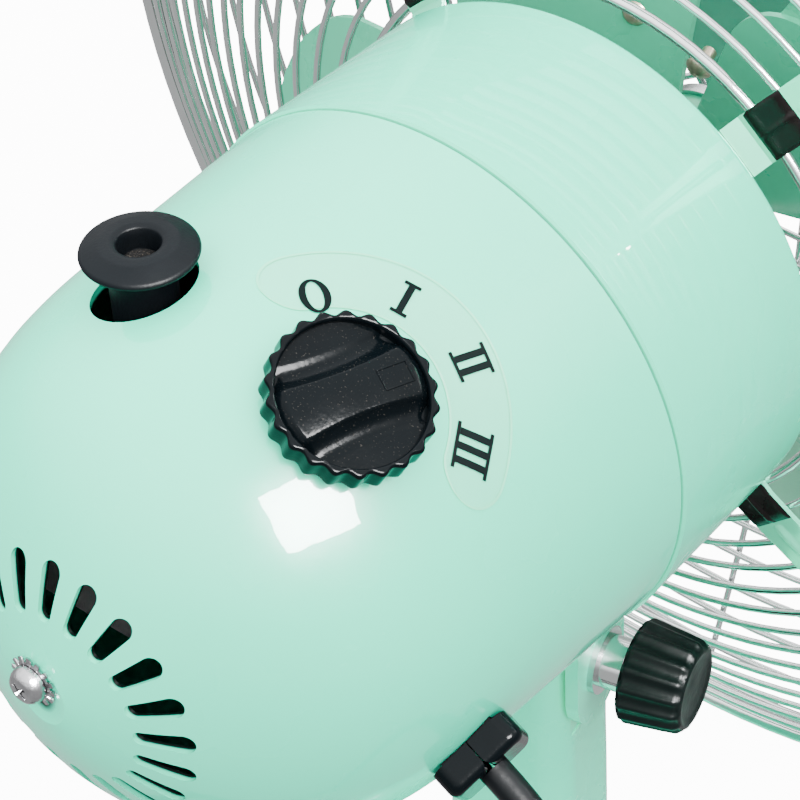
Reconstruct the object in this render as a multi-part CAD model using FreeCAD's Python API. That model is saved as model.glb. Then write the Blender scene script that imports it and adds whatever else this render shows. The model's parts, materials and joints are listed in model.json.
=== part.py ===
"""Retro desk fan, built as separate pieces.

Frame: millimetres, +Z up, the fan blows towards -Y.  The origin is the middle of
the foot circle on the table.  The tilt axis is parallel to X, the oscillation axis
is vertical and the motor shaft runs along Y.
"""
import FreeCAD
import Part
import os
from math import pi, sin, cos, radians, degrees, sqrt, atan2, tan

V = FreeCAD.Vector
X = V(1, 0, 0)
Y = V(0, 1, 0)
Z = V(0, 0, 1)

# ---------------------------------------------------------------- driving sizes
TILT_Z = 205.0            # height of the tilt bolt
TILT_Y = -25.0            # the tilt bolt crosses the middle plane here, in front of the swing axis
FORK_TURN = 12.0          # the head stands swung this far from the neck, degrees about Z
HUB_Z = 300.0             # height of the motor shaft
SEAM_Y = 4.0              # plane where the rear shell meets the front band
SWING_Y = 4.0             # the vertical oscillation axis passes through x = 0, y = 4
SWING_DEG = 35.0          # oscillation each way

SHELL_R = 59.7            # outer radius of the rear shell at the seam
SHELL_TAPER = 0.037       # loss of radius per millimetre towards the rear
SHELL_STRAIGHT = 38.1     # length of the straight tapered part
SHELL_LENGTH = 109.3      # seam to the tip of the dome
DOME_POWER = 3.335
SHELL_WALL = 1.6
BAND_LENGTH = 46.5
BAND_R = 60.4

VENTS = 20
VENT_PHASE = -2.25        # degrees from the top towards -X
VENT_R_IN = 17.9
VENT_R_OUT = 28.5

OSC_T = 57.9              # oscillation knob, distance behind the seam
KNOB_T = 57.5             # speed knob, distance behind the seam
KNOB_ANGLE = 31.0         # speed knob, degrees from the top towards -X
RELIEF_T = 56.0           # cord bushing, distance behind the seam
RELIEF_ANGLE = 112.0
RELIEF_TURN = 25.0        # turn of the cord bushing about its own axis

RING_R = 61.5             # innermost ring of the rear grille
RING_PITCH = 7.7
RING_COUNT = 14
RIM_R = 167.4
RING_T = 54.0             # depth of the first ring in front of the seam
RIM_T = 94.5
BOWL_POWER = 1.43
WIRE_R = 0.8
FIRST_WIRE_R = 1.2
RIM_WIRE_R = 2.0
STRUT_ANGLES = (42.0, -42.0, 138.0, -138.0)
STRUT_SCREW_R = 38.0
STRUT_THICK = 1.2

FRONT_RIM_Y = -94.6
FRONT_DEPTH = 38.0
FRONT_RING_R = 34.0
FRONT_RINGS = 17
FRONT_RIBS = 12
BADGE_R = 31.0

BLADES = 4
BLADE_TIP_R = 142.0
BLADE_PITCH = 14.0
BLADE_CONE = 4.0
BLADE_Y = -78.0
GAP_ANGLE = 11.0          # middle of one gap between blades, from the top towards -X

BASE_R = 95.0
CORD_R = 3.1

RUN = 0.05                # radial clearance of a running fit

os.makedirs("parts", exist_ok=True)


# ---------------------------------------------------------------- small helpers
def save(node, *shapes):
    solids = []
    for shape in shapes:
        solids.extend(shape.Solids)
    body = solids[0] if len(solids) == 1 else Part.makeCompound(solids)
    body.exportStep("parts/%s.step" % node)
    volume = sum(s.Volume for s in solids)
    print("%-24s %2d solid(s) %9.0f mm3  valid %s" % (node, len(solids), volume, body.isValid()))


def rod(radius, start, direction, length):
    return Part.makeCylinder(radius, length, start, direction)


def pipe(outer, inner, start, direction, length):
    ends = V(direction) * 1.0
    ends.normalize()
    hole = rod(inner, start - ends, direction, length + 2)
    return rod(outer, start, direction, length).cut(hole)


def block(x, y, z):
    """A box from three (low, high) pairs."""
    return Part.makeBox(x[1] - x[0], y[1] - y[0], z[1] - z[0], V(x[0], y[0], z[0]))


def outline(points):
    return Part.Face(Part.makePolygon([V(*p) for p in points] + [V(*points[0])]))


def lathe_y(points):
    """Turn (y, radius) points about the motor axis."""
    face = outline([(0, y, HUB_Z + r) for y, r in points])
    return face.revolve(V(0, 0, HUB_Z), Y, 360)


def lathe_z(points, x=0.0, y=0.0):
    """Turn (radius, z) points about a vertical axis."""
    face = outline([(x + r, y, z) for r, z in points])
    return face.revolve(V(x, y, 0), Z, 360)


def around(angle, radius, y):
    """A point at an angle from the top towards -X, on a circle about the motor axis."""
    a = radians(angle)
    return V(-radius * sin(a), y, HUB_Z + radius * cos(a))


def spin(shape, angle):
    """A copy turned about the motor axis, positive from the top towards -X."""
    copy = shape.copy()
    copy.rotate(V(0, 0, HUB_Z), Y, -angle)
    return copy


def shell_radius(t):
    """Outer radius of the rear shell at a distance t behind the seam."""
    radius = SHELL_R - SHELL_TAPER * t
    if t > SHELL_STRAIGHT:
        x = (t - SHELL_STRAIGHT) / (SHELL_LENGTH - SHELL_STRAIGHT)
        radius *= max(0.0, 1 - x ** DOME_POWER) ** (1 / 1.5)
    return radius


def shell_normal(t, angle):
    slope = (shell_radius(t + 0.05) - shell_radius(t - 0.05)) / 0.1
    a = radians(angle)
    normal = V(-sin(a), -slope, cos(a))
    return normal.normalize()


def on_shell(t, angle):
    return around(angle, shell_radius(t), SEAM_Y + t)


def offset_dome(inset):
    """Solid of the rear shell's outer form, moved in by an inset along the normal."""
    steps = [SHELL_STRAIGHT + (SHELL_LENGTH - 0.6 - SHELL_STRAIGHT) * (1 - (1 - i / 13.0) ** 2)
             for i in range(14)]
    curve_points = [V(0, SEAM_Y, HUB_Z + SHELL_R - inset)]
    for t in steps:
        normal = shell_normal(t, 0)
        curve_points.append(on_shell(t, 0) - normal * inset)
    tip = V(0, SEAM_Y + SHELL_LENGTH - inset, HUB_Z)
    straight = Part.LineSegment(curve_points[0], curve_points[1]).toShape()
    spline = Part.BSplineCurve()
    along = curve_points[1] - curve_points[0]
    spline.interpolate(Points=curve_points[1:] + [tip],
                       InitialTangent=along.normalize(), FinalTangent=V(0, 0, -1))
    back = Part.LineSegment(tip, V(0, SEAM_Y, HUB_Z)).toShape()
    front = Part.LineSegment(V(0, SEAM_Y, HUB_Z), curve_points[0]).toShape()
    face = Part.Face(Part.Wire([straight, spline.toShape(), back, front]))
    return face.revolve(V(0, 0, HUB_Z), Y, 360)


def aimed(shape, point, normal):
    """Carry a shape modelled at the origin about +Z out to a point, +Z along a normal."""
    copy = shape.copy()
    copy.Placement = FreeCAD.Placement(point, FreeCAD.Rotation(Z, normal)).multiply(copy.Placement)
    return copy


def toothed(teeth, module, width, bore, fullness, bottom=V(0, 0, 0)):
    """A spur gear about +Z with straight-sided teeth that leave plenty of backlash."""
    pitch_r = teeth * module / 2.0
    root_r = pitch_r - 1.2 * module
    tip_r = pitch_r + 0.85 * module
    half = fullness * pi / (2 * teeth)
    points = []
    for i in range(teeth):
        middle = 2 * pi * i / teeth
        for radius, spread in ((root_r, 1.5), (pitch_r, 1.0), (tip_r, 0.5)):
            points.append((radius, middle - spread * half))
        for radius, spread in ((tip_r, 0.5), (pitch_r, 1.0), (root_r, 1.5)):
            points.append((radius, middle + spread * half))
    face = outline([(r * cos(a), r * sin(a), 0) for r, a in points])
    gear = face.extrude(V(0, 0, width))
    gear = gear.cut(rod(bore, V(0, 0, -1), Z, width + 2))
    gear.translate(bottom)
    return gear


def pan_head_screw(shank_r, shank, head_r, head_h, recess=True):
    """Head on +Z, the shank below the origin, with a cross recess."""
    head = rod(head_r, V(0, 0, 0), Z, head_h)
    dome = Part.makeSphere(head_r * 1.6, V(0, 0, head_h - head_r * 1.6))
    head = head.common(dome)
    screw = head.fuse(rod(shank_r, V(0, 0, -shank), Z, shank))
    if recess:
        long = head_r * 1.1
        wide = head_r * 0.24
        for size in ((long, wide), (wide, long)):
            cut = block((-size[0] / 2, size[0] / 2), (-size[1] / 2, size[1] / 2),
                        (head_h * 0.45, head_h + 1))
            screw = screw.cut(cut)
    return screw


def wire_path(points, radius_share=0.45):
    """Straight runs joined by tangent arcs, each as large as its two runs allow."""
    edges = []
    radii = []
    start = points[0]
    length = 0.0
    for before, here, after in zip(points, points[1:], points[2:]):
        come = here - before
        leave = after - here
        shorter = min(come.Length, leave.Length)
        turn = come.getAngle(leave)
        reach = radius_share * shorter
        radius = reach / tan(turn / 2)
        u = V(come).normalize()
        w = V(leave).normalize()
        first = here - u * reach
        last = here + w * reach
        inward = (w - u).normalize()
        centre = here + inward * (radius / cos(turn / 2))
        middle = centre - inward * radius
        edges.append(Part.LineSegment(start, first).toShape())
        edges.append(Part.Arc(first, middle, last).toShape())
        length += (first - start).Length + radius * turn
        radii.append(radius)
        start = last
    edges.append(Part.LineSegment(start, points[-1]).toShape())
    length += (points[-1] - start).Length
    return Part.Wire(edges), length, radii


def tube_along(points, radius):
    path, length, radii = wire_path(points)
    ring = Part.Wire([Part.makeCircle(radius, points[0], points[1] - points[0])])
    tube = path.makePipeShell([ring], True, False)
    section = pi * radius * radius
    print("  cord length %.1f, volume / (section x length) %.4f, radii %s"
          % (length, tube.Volume / (section * length), ["%.0f" % r for r in radii]))
    return tube


# ---------------------------------------------------------------- base
NECK_FOOT_Y = -12.0       # middle of the neck where it stands on the base
FOOT_H = 4.0
PLATE_TOP = 6.0
SHELL_TOP = 40.0
SCREW_CIRCLE = 72.0
RING_FOOT = (84.0, 91.0)  # inner and outer radius of the rubber ring the fan stands on


def dome_profile(radius, top, wall):
    """Outer curve of the base cover, from its hem up to the flat where the neck stands."""
    points = []
    for i in range(10):
        a = radians(90.0 * i / 9)
        points.append((42 + (radius - 42) * cos(a) - wall, 10 + (top - 10) * sin(a) - wall * sin(a)))
    return points


def make_base():
    outer = [(BASE_R, 3.0)] + dome_profile(BASE_R, SHELL_TOP, 0) + [(12, SHELL_TOP)]
    inner = [(12, SHELL_TOP - 2)] + dome_profile(BASE_R, SHELL_TOP, 2)[::-1] + [(BASE_R - 2, 3.0)]
    cover = lathe_z(outer + inner)
    for x in (-16, 16):
        cover = cover.cut(rod(2.6, V(x, NECK_FOOT_Y, 30), Z, 20))
    save("base_cover", cover)

    plate = rod(BASE_R - 2.4, V(0, 0, FOOT_H), Z, PLATE_TOP - FOOT_H)
    weight = pipe(82, 30, V(0, 0, PLATE_TOP), Z, 9)
    screws = []
    for i in range(4):
        a = radians(45 + 90 * i)
        spot = V(SCREW_CIRCLE * cos(a), SCREW_CIRCLE * sin(a), 0)
        screw = pan_head_screw(1.9, 10.0, 3.0, 1.6)
        screw.rotate(V(0, 0, 0), X, 180)
        screw.translate(spot + V(0, 0, FOOT_H))
        screws.append(screw)
        hole = rod(1.9, spot + V(0, 0, 1), Z, 13)
        plate = plate.cut(hole)
        weight = weight.cut(hole)
    save("base_plate", plate)
    save("base_weight", weight)
    save("foot_ring", pipe(RING_FOOT[1], RING_FOOT[0], V(0, 0, 0), Z, FOOT_H))
    save("base_screws", *screws)


# ---------------------------------------------------------------- neck
NECK_BOTTOM = SHELL_TOP
LEG_IN = 14.9             # the bracket's two legs stand against the flats of the neck's head
LEG_OUT = 17.9
LEG_R = 12.5              # half width of a leg, and radius of its round end
LEG_DROP = 4.0            # the round end is centred this far below the tilt axis
NECK_HALF = 15.0
NECK_HEAD_R = 15.0        # round top of the neck, about the tilt axis
BOLT_R = 4.0


def on_fork(shape):
    """Turn a shape modelled about the plane y = 0 with the neck, and carry it to the tilt axis."""
    copy = shape.copy()
    copy.rotate(V(0, 0, 0), Z, FORK_TURN)
    copy.translate(V(0, TILT_Y, 0))
    return copy


def rounded_section(half_x, half_y, corner, z, mid_y=0.0):
    straight = [((-half_x + corner, -half_y), (half_x - corner, -half_y)),
                ((half_x, -half_y + corner), (half_x, half_y - corner)),
                ((half_x - corner, half_y), (-half_x + corner, half_y)),
                ((-half_x, half_y - corner), (-half_x, -half_y + corner))]
    corners = [(half_x - corner, -half_y + corner, 315), (half_x - corner, half_y - corner, 45),
               (-half_x + corner, half_y - corner, 135), (-half_x + corner, -half_y + corner, 225)]
    edges = []
    for index, (start, end) in enumerate(straight):
        first = V(start[0], start[1] + mid_y, z)
        last = V(end[0], end[1] + mid_y, z)
        edges.append(Part.LineSegment(first, last).toShape())
        cx, cy, angle = corners[index]
        following = straight[(index + 1) % 4][0]
        middle = V(cx + corner * cos(radians(angle)), cy + corner * sin(radians(angle)) + mid_y, z)
        edges.append(Part.Arc(last, middle, V(following[0], following[1] + mid_y, z)).toShape())
    return Part.Wire(edges)


def make_neck():
    foot = NECK_FOOT_Y - TILT_Y
    sections = [(32, 22, 14, NECK_BOTTOM, foot), (21, 17, 11, 90, foot * 0.55), (16, 15.5, 8, 145, foot * 0.12)]
    head = [(NECK_HALF, NECK_HALF, 7.5, 175, 0.0), (NECK_HALF, NECK_HALF, 7.5, TILT_Z + NECK_HEAD_R, 0.0)]
    column = Part.makeLoft([rounded_section(*s) for s in sections + head[:1]], True, False)
    top = Part.makeLoft([rounded_section(*s) for s in head], True, True)
    skirt = block((-20, 20), (-20, 20), (170, TILT_Z))
    top = top.common(skirt.fuse(rod(NECK_HEAD_R, V(-20, 0, TILT_Z), X, 40)))
    neck = column.fuse(top).removeSplitter()
    for x in ((LEG_IN - 0.2, 30), (-30, -LEG_IN + 0.2)):
        neck = neck.cut(block(x, (-20, 20), (TILT_Z - LEG_DROP - LEG_R - 0.9, 240)))
    neck = neck.cut(rod(BOLT_R + RUN, V(-40, 0, TILT_Z), X, 80))
    hollow = [(26, 16, 8, NECK_BOTTOM + 12, foot), (11, 10.5, 5, 145, foot * 0.12), (10, 10, 4, 185, 0.0)]
    neck = neck.cut(Part.makeLoft([rounded_section(*s) for s in hollow], True, False))
    neck = on_fork(neck.cut(rod(9, V(0, foot, NECK_BOTTOM - 1), Z, 14)))
    screws = []
    for x in (-16, 16):
        neck = neck.cut(rod(2.5, V(x, NECK_FOOT_Y, NECK_BOTTOM - 1), Z, 14))
        screw = pan_head_screw(2.5, 13.0, 5.0, 3.0)
        screw.rotate(V(0, 0, 0), X, 180)
        screw.translate(V(x, NECK_FOOT_Y, SHELL_TOP - 2))
        screws.append(screw)
    save("neck", neck)
    save("neck_screws", *screws)

    nut = pipe(7.5, BOLT_R + RUN, V(LEG_OUT + 0.05, 0, TILT_Z), X, 5.0)
    save("tilt_nut", on_fork(nut))


# ---------------------------------------------------------------- tilt block and pivot post
POST_R = 6.0
ARM_HALF = 11.0           # half width of the arm from the legs to the pivot post
BLOCK_TOP = 238.2
ARM_Z = 247.0
ARM_H = 2.6
ARM_PIN = 12.0            # the link's fixed pin stands this far to the -X side of the post
PIN_R = 2.0
LINK_Z = 250.0
LINK_H = 2.4
BOSS_Z = 255.6
BOSS_TOP = 276.0
BOSS_R = 9.5
EYE_R = PIN_R + 3.2       # open eye of the link, where the loop is cut


def make_tilt_block():
    plate = block((-LEG_OUT, LEG_OUT), (-LEG_R, LEG_R), (BLOCK_TOP - 6.0, BLOCK_TOP))
    low = TILT_Z - LEG_DROP
    for start in (LEG_IN, -LEG_OUT):
        leg = rod(LEG_R, V(start, 0, low), X, LEG_OUT - LEG_IN)
        plate = plate.fuse(leg).fuse(block((start, start + LEG_OUT - LEG_IN), (-LEG_R, LEG_R), (low, BLOCK_TOP)))
    plate = on_fork(plate.cut(rod(BOLT_R + RUN, V(-40, 0, TILT_Z), X, 80)))
    arm = block((-ARM_HALF, ARM_HALF), (TILT_Y, SWING_Y), (BLOCK_TOP - 8.0, BLOCK_TOP))
    arm = arm.fuse(rod(ARM_HALF, V(0, SWING_Y, BLOCK_TOP - 8.0), Z, 8.0))
    body = plate.fuse(arm).removeSplitter()
    body = body.cut(rod(POST_R, V(0, SWING_Y, BLOCK_TOP - 5.0), Z, 10))
    save("tilt_block", body)

    post = rod(POST_R, V(0, SWING_Y, BLOCK_TOP - 5.0), Z, BOSS_TOP + 0.6 - BLOCK_TOP + 5.0)
    post = post.cut(rod(1.6, V(0, SWING_Y, BOSS_TOP - 9), Z, 20))
    save("pivot_post", post)

    collar = pipe(BOSS_R, POST_R, V(0, SWING_Y, ARM_Z), Z, ARM_H)
    lug = rod(4.0, V(-ARM_PIN, SWING_Y, ARM_Z), Z, ARM_H)
    lug = lug.cut(rod(POST_R, V(0, SWING_Y, ARM_Z - 1), Z, ARM_H + 2))
    pin = rod(PIN_R, V(-ARM_PIN, SWING_Y, ARM_Z), Z, 7.2)
    clip = pipe(3.2, PIN_R, V(-ARM_PIN, SWING_Y, LINK_Z + LINK_H + 0.3), Z, 0.8)
    save("link_anchor", collar.fuse(lug).fuse(pin).removeSplitter(), clip)

    save("thrust_washer", pipe(POST_R + 1.0, POST_R, V(0, SWING_Y, ARM_Z + ARM_H), Z,
                               BOSS_Z - 0.3 - ARM_Z - ARM_H))
    flange = rod(8.0, V(0, SWING_Y, BOSS_TOP + 0.6), Z, 1.0)
    screw = pan_head_screw(1.6, 9.0, 3.6, 2.2)
    screw.translate(V(0, SWING_Y, BOSS_TOP + 1.6))
    save("post_screw", screw.fuse(flange).removeSplitter())


KNOB_INNER = 28.5         # tilt knob, distances from the middle plane of the neck
KNOB_OUTER = 39.6
KNOB_WIDE = 11.8
KNOB_NARROW = 10.6
TILT_FLUTES = 16


def make_tilt_knob():
    """Fluted plastic knob on a threaded steel bolt that clamps the two legs on the neck."""
    length = KNOB_OUTER - KNOB_INNER
    body = Part.makeCone(KNOB_WIDE, KNOB_NARROW, length, V(-KNOB_INNER, 0, TILT_Z), V(-1, 0, 0))
    rim = [e for e in body.Edges if e.BoundBox.XMax < -KNOB_OUTER + 0.01]
    body = body.makeChamfer(1.5, rim)
    lean = (KNOB_WIDE - KNOB_NARROW) / length
    for i in range(TILT_FLUTES):
        a = 2 * pi * i / TILT_FLUTES
        away = V(0, cos(a), sin(a))
        start = V(-KNOB_INNER + 1, 0, TILT_Z) + away * (KNOB_WIDE + 1.9 + lean)
        body = body.cut(rod(2.6, start, V(-1, 0, 0) - away * lean, length + 4))
    body = body.cut(rod(BOLT_R, V(-KNOB_INNER + 1, 0, TILT_Z), V(-1, 0, 0), 9.0))
    save("tilt_knob", on_fork(body))
    bolt = rod(BOLT_R, V(-KNOB_INNER - 8.0, 0, TILT_Z), X, LEG_OUT + 7.0 + KNOB_INNER + 8.0)
    save("tilt_bolt", on_fork(bolt))
    washer = pipe(8.0, BOLT_R, V(-LEG_OUT - 0.05, 0, TILT_Z), V(-1, 0, 0), 1.4)
    sleeve = pipe(6.2, BOLT_R, V(-LEG_OUT - 1.45, 0, TILT_Z), V(-1, 0, 0), 6.0)
    save("tilt_washer", on_fork(washer.fuse(sleeve).removeSplitter()))


# ---------------------------------------------------------------- motor housing
OSC_HOLE_R = 10.0
KNOB_POINT = on_shell(KNOB_T, KNOB_ANGLE)
KNOB_NORMAL = shell_normal(KNOB_T, KNOB_ANGLE)
RELIEF_POINT = on_shell(RELIEF_T, RELIEF_ANGLE)
RELIEF_NORMAL = shell_normal(RELIEF_T, RELIEF_ANGLE)
SCREW_UP = 5.8            # rear screw, above the motor axis and to its +X side
SCREW_SIDE = 1.6
DIMPLE_R = 40.0
DIMPLE_DEPTH = 0.7
RELIEF_SIZE = (17.5, 13.5, 6.3)   # along the fan axis, across it, and proud of the shell


def vent_cutter():
    """One slot, wider outwards, cut straight along the motor axis."""
    wide = 2.1
    narrow = 1.5
    r_out = VENT_R_OUT - wide
    r_in = VENT_R_IN + narrow
    body = outline([(-narrow, 60, HUB_Z + r_in), (narrow, 60, HUB_Z + r_in), (wide, 60, HUB_Z + r_out),
                    (-wide, 60, HUB_Z + r_out)]).extrude(V(0, 80, 0))
    body = body.fuse(rod(wide, V(0, 60, HUB_Z + r_out), Y, 80))
    return body.fuse(rod(narrow, V(0, 60, HUB_Z + r_in), Y, 80))


def make_housing():
    shell = offset_dome(0).cut(offset_dome(SHELL_WALL))
    slot = vent_cutter()
    for i in range(VENTS):
        shell = shell.cut(spin(slot, VENT_PHASE + i * 360.0 / VENTS))
    shell = shell.cut(rod(OSC_HOLE_R, V(CLUTCH_X, OSC_Y, HUB_Z + 40), Z, 40))
    shell = shell.cut(rod(4.2, KNOB_POINT - KNOB_NORMAL * 8, KNOB_NORMAL, 16))
    relief_hole = block((-5.4, 5.4), (-6.2, 6.2), (-8, 8))
    relief_hole.rotate(V(0, 0, 0), Z, RELIEF_TURN)
    shell = shell.cut(aimed(relief_hole, RELIEF_POINT, RELIEF_NORMAL))
    shell = shell.cut(rod(13.0, V(0, SWING_Y, 225), Z, 30))
    shell = shell.cut(rod(1.7, V(SCREW_SIDE, 90, HUB_Z + SCREW_UP), Y, 40))
    seat = screw_seat()
    shell = shell.cut(Part.makeSphere(DIMPLE_R, seat + Y * DIMPLE_R))
    save("rear_shell", shell)

    nose_y = SEAM_Y - BAND_LENGTH
    rim = 1.6
    outer = [(SEAM_Y - 0.5, BAND_R - 0.5), (SEAM_Y - 0.9, BAND_R), (nose_y + rim, BAND_R - 0.9)]
    for i in range(1, 5):
        a = radians(90 * i / 4.0)
        outer.append((nose_y + rim - rim * sin(a), BAND_R - 0.9 - rim + rim * cos(a)))
    inner = [(nose_y, BAND_R - 3.4), (nose_y + 1.4, BAND_R - 3.4), (SEAM_Y - 0.5, BAND_R - 2.6)]
    band = lathe_y(outer + inner)
    band = band.cut(rod(13.0, V(0, SWING_Y, 225), Z, 30))
    lip = lathe_y([(SEAM_Y - 4, BAND_R - 2.75), (SEAM_Y + 3, SHELL_R - SHELL_WALL - 0.2),
                   (SEAM_Y + 3, SHELL_R - SHELL_WALL - 1.4), (SEAM_Y - 4, BAND_R - 4.2)])
    lip = lip.cut(rod(13.0, V(0, SWING_Y, 225), Z, 30))
    save("front_band", band.fuse(lip).removeSplitter())

    washer = pipe(4.8, 1.75, V(0, 0, 0), Z, 0.9)
    screw = pan_head_screw(1.7, 8.0, 3.1, 2.0)
    save("rear_lock_washer", aimed(washer, seat + Y * 0.35, Y))
    save("rear_screw", aimed(screw, seat + Y * 1.25, Y))


def screw_seat():
    """Bottom of the dimple under the rear screw, a little above the tip of the dome."""
    x = (1 - (SCREW_UP / (SHELL_R - SHELL_TAPER * SHELL_LENGTH)) ** 1.5) ** (1 / DOME_POWER)
    t = SHELL_STRAIGHT + x * (SHELL_LENGTH - SHELL_STRAIGHT)
    return V(SCREW_SIDE, SEAM_Y + t - DIMPLE_DEPTH, HUB_Z + SCREW_UP)


def make_relief():
    """Two clamping halves of the cord bushing, snapped into the shell."""
    length, width, proud = RELIEF_SIZE
    halves = []
    for side in (-1, 1):
        low = 0.12 if side > 0 else -length / 2
        high = length / 2 if side > 0 else -0.12
        head = block((-width / 2, width / 2), (low, high), (0.3, proud))
        outer = side * length / 2
        upright = [e for e in head.Edges if e.BoundBox.ZLength > 3 and abs(e.BoundBox.YMin - outer) < 0.01]
        head = head.makeFillet(3.0, upright)
        head = head.makeFillet(1.9, [e for e in head.Edges if abs(e.BoundBox.ZMin - proud) < 0.01])
        neck = block((-5.2, 5.2), (max(low, -6.0), min(high, 6.0)), (-6, 0.4))
        half = head.fuse(neck).removeSplitter()
        half = half.cut(rod(CORD_R + 0.02, V(0, 0, -10), Z, 30))
        half.rotate(V(0, 0, 0), Z, RELIEF_TURN)
        halves.append(aimed(half, RELIEF_POINT, RELIEF_NORMAL))
    save("strain_relief", *halves)


# ---------------------------------------------------------------- motor
SHAFT_R = 4.0
STATOR_Y = (-33.0, -15.0)
STATOR_R = 41.0
ROTOR_R = 22.0
FRAME_Y = (-9.0, -7.2)


def make_motor():
    nose_y = SEAM_Y - BAND_LENGTH
    plate = lathe_y([(nose_y + 1.6, 9.0), (nose_y + 1.6, BAND_R - 3.6), (nose_y + 3.4, BAND_R - 3.6),
                     (nose_y + 3.4, 12.0), (nose_y + 8.0, 12.0), (nose_y + 8.0, 9.0)])
    for angle in STRUT_ANGLES:
        seat = around(angle, STRUT_SCREW_R, nose_y - 2.0)
        plate = plate.fuse(rod(4.0, seat, Y, 4.0)).cut(rod(2.0, seat - Y, Y, 6.0))
    save("motor_front_plate", plate.removeSplitter())

    core = pipe(STATOR_R, ROTOR_R + 0.5, V(0, STATOR_Y[0], HUB_Z), Y, STATOR_Y[1] - STATOR_Y[0])
    slot = rod(3.2, V(0, STATOR_Y[0] - 1, HUB_Z + 28.5), Y, 30)
    mouth = block((-0.9, 0.9), (STATOR_Y[0] - 1, STATOR_Y[1] + 1), (HUB_Z + 20, HUB_Z + 27))
    for i in range(16):
        core = core.cut(spin(slot.fuse(mouth), i * 22.5))
    bolts = []
    for angle in (45, 135, 225, 315):
        start = around(angle, 37.5, nose_y + 3.4)
        core = core.cut(rod(1.8, start, Y, 40))
        bolts.append(rod(1.8, start, Y, FRAME_Y[0] - nose_y - 3.4))
    save("stator_core", core)
    save("motor_bolts", *bolts)
    coils = []
    for y in (STATOR_Y[0] - 5.6, STATOR_Y[1] + 0.2):
        coils.append(lathe_y([(y, 26), (y, 32), (y + 1.4, 34), (y + 4, 34), (y + 5.4, 32), (y + 5.4, 26),
                              (y + 4, 24.5), (y + 1.4, 24.5)]))
    save("stator_windings", *coils)

    frame = lathe_y([(FRAME_Y[0], 9.0), (FRAME_Y[0], 44.0), (FRAME_Y[1], 44.0), (FRAME_Y[1], 12.0),
                     (FRAME_Y[1] + 5.0, 12.0), (FRAME_Y[1] + 5.0, 9.0)])
    boss = rod(BOSS_R, V(0, SWING_Y, BOSS_Z), Z, BOSS_TOP - BOSS_Z)
    web = block((-6, 6), (FRAME_Y[0], SWING_Y), (BOSS_Z + 2, BOSS_TOP - 1))
    frame = frame.fuse(boss).fuse(web)
    frame = frame.cut(rod(POST_R + RUN, V(0, SWING_Y, BOSS_Z - 2), Z, 40)).removeSplitter()
    save("motor_rear_frame", frame)
    bearings = [pipe(9.0, SHAFT_R + RUN, V(0, y, HUB_Z), Y, 5.6) for y in (nose_y + 2.0, FRAME_Y[0] + 0.6)]
    save("shaft_bearings", *bearings)

    rotor = rod(ROTOR_R, V(0, STATOR_Y[0], HUB_Z), Y, STATOR_Y[1] - STATOR_Y[0])
    rings = pipe(ROTOR_R - 1, 12, V(0, STATOR_Y[0] - 3, HUB_Z), Y, STATOR_Y[1] - STATOR_Y[0] + 6)
    rotor = rotor.fuse(rings).cut(rod(SHAFT_R, V(0, -60, HUB_Z), Y, 80)).removeSplitter()
    save("rotor_core", rotor)


# ---------------------------------------------------------------- oscillation gearbox
OSC_Y = SEAM_Y + OSC_T
WORM_MODULE = 0.8
WORM_PITCH_R = 3.6
WHEEL_TEETH = 30
WHEEL_R = WHEEL_TEETH * WORM_MODULE / 2
CLUTCH_X = WORM_PITCH_R + WHEEL_R      # the oscillation knob stands above the clutch shaft
PINION_TEETH = 10
CRANK_TEETH = 38
GEAR_MODULE = 0.9
GEAR_CENTRES = (PINION_TEETH + CRANK_TEETH) * GEAR_MODULE / 2
CRANK_Y = OSC_Y - sqrt(GEAR_CENTRES ** 2 - CLUTCH_X ** 2)
CRANK_Z = 258.2
CRANK_H = 3.6
BOX_X = (-22.0, 36.0)
BOX_Y = (41.5, 82.5)
BOX_Z = (286.5, 311.0)
BOX_WALL = 2.2
WORM_START = OSC_Y - WORM_MODULE * pi * 4.5
SHAFT_END = BOX_Y[1] - 0.6
COLLAR_Z = 320.4          # collar at the top of the clutch shaft, inside the lifter's bell


def linkage():
    """Crank throw, link length, rest angles of both and their mean ratios to the swing."""
    base = CRANK_Y - SWING_Y
    swing = radians(SWING_DEG)
    square = ARM_PIN ** 2 + base ** 2
    near = sqrt(square - 2 * ARM_PIN * base * sin(swing))
    far = sqrt(square + 2 * ARM_PIN * base * sin(swing))
    throw = (far - near) / 2
    link = (far + near) / 2
    rest = sqrt(square)
    bend = (throw ** 2 + rest ** 2 - link ** 2) / (2 * throw * rest)
    crank = atan2(-base, -ARM_PIN) + 2 * pi - atan2(sqrt(1 - bend ** 2), bend)
    lever = atan2(base + throw * sin(crank), ARM_PIN + throw * cos(crank))
    left = atan2(base * cos(swing), ARM_PIN - base * sin(swing))
    right = atan2(base * cos(swing), ARM_PIN + base * sin(swing))
    crank_ends = (left - swing, right + pi + swing)
    crank_rest = (crank + sum(crank_ends) / 2) / 2
    lever_rest = (lever + (left + right) / 2) / 2
    ratios = ((crank_ends[0] - crank_ends[1]) / (2 * swing), (left - right) / (2 * swing))
    return throw, link, crank_rest, lever_rest, ratios


THROW, LINK_LENGTH, CRANK_ANGLE, LINK_ANGLE, RATIOS = linkage()
CRANK_PIN = V(THROW * cos(CRANK_ANGLE), CRANK_Y + THROW * sin(CRANK_ANGLE), 0)


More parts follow.
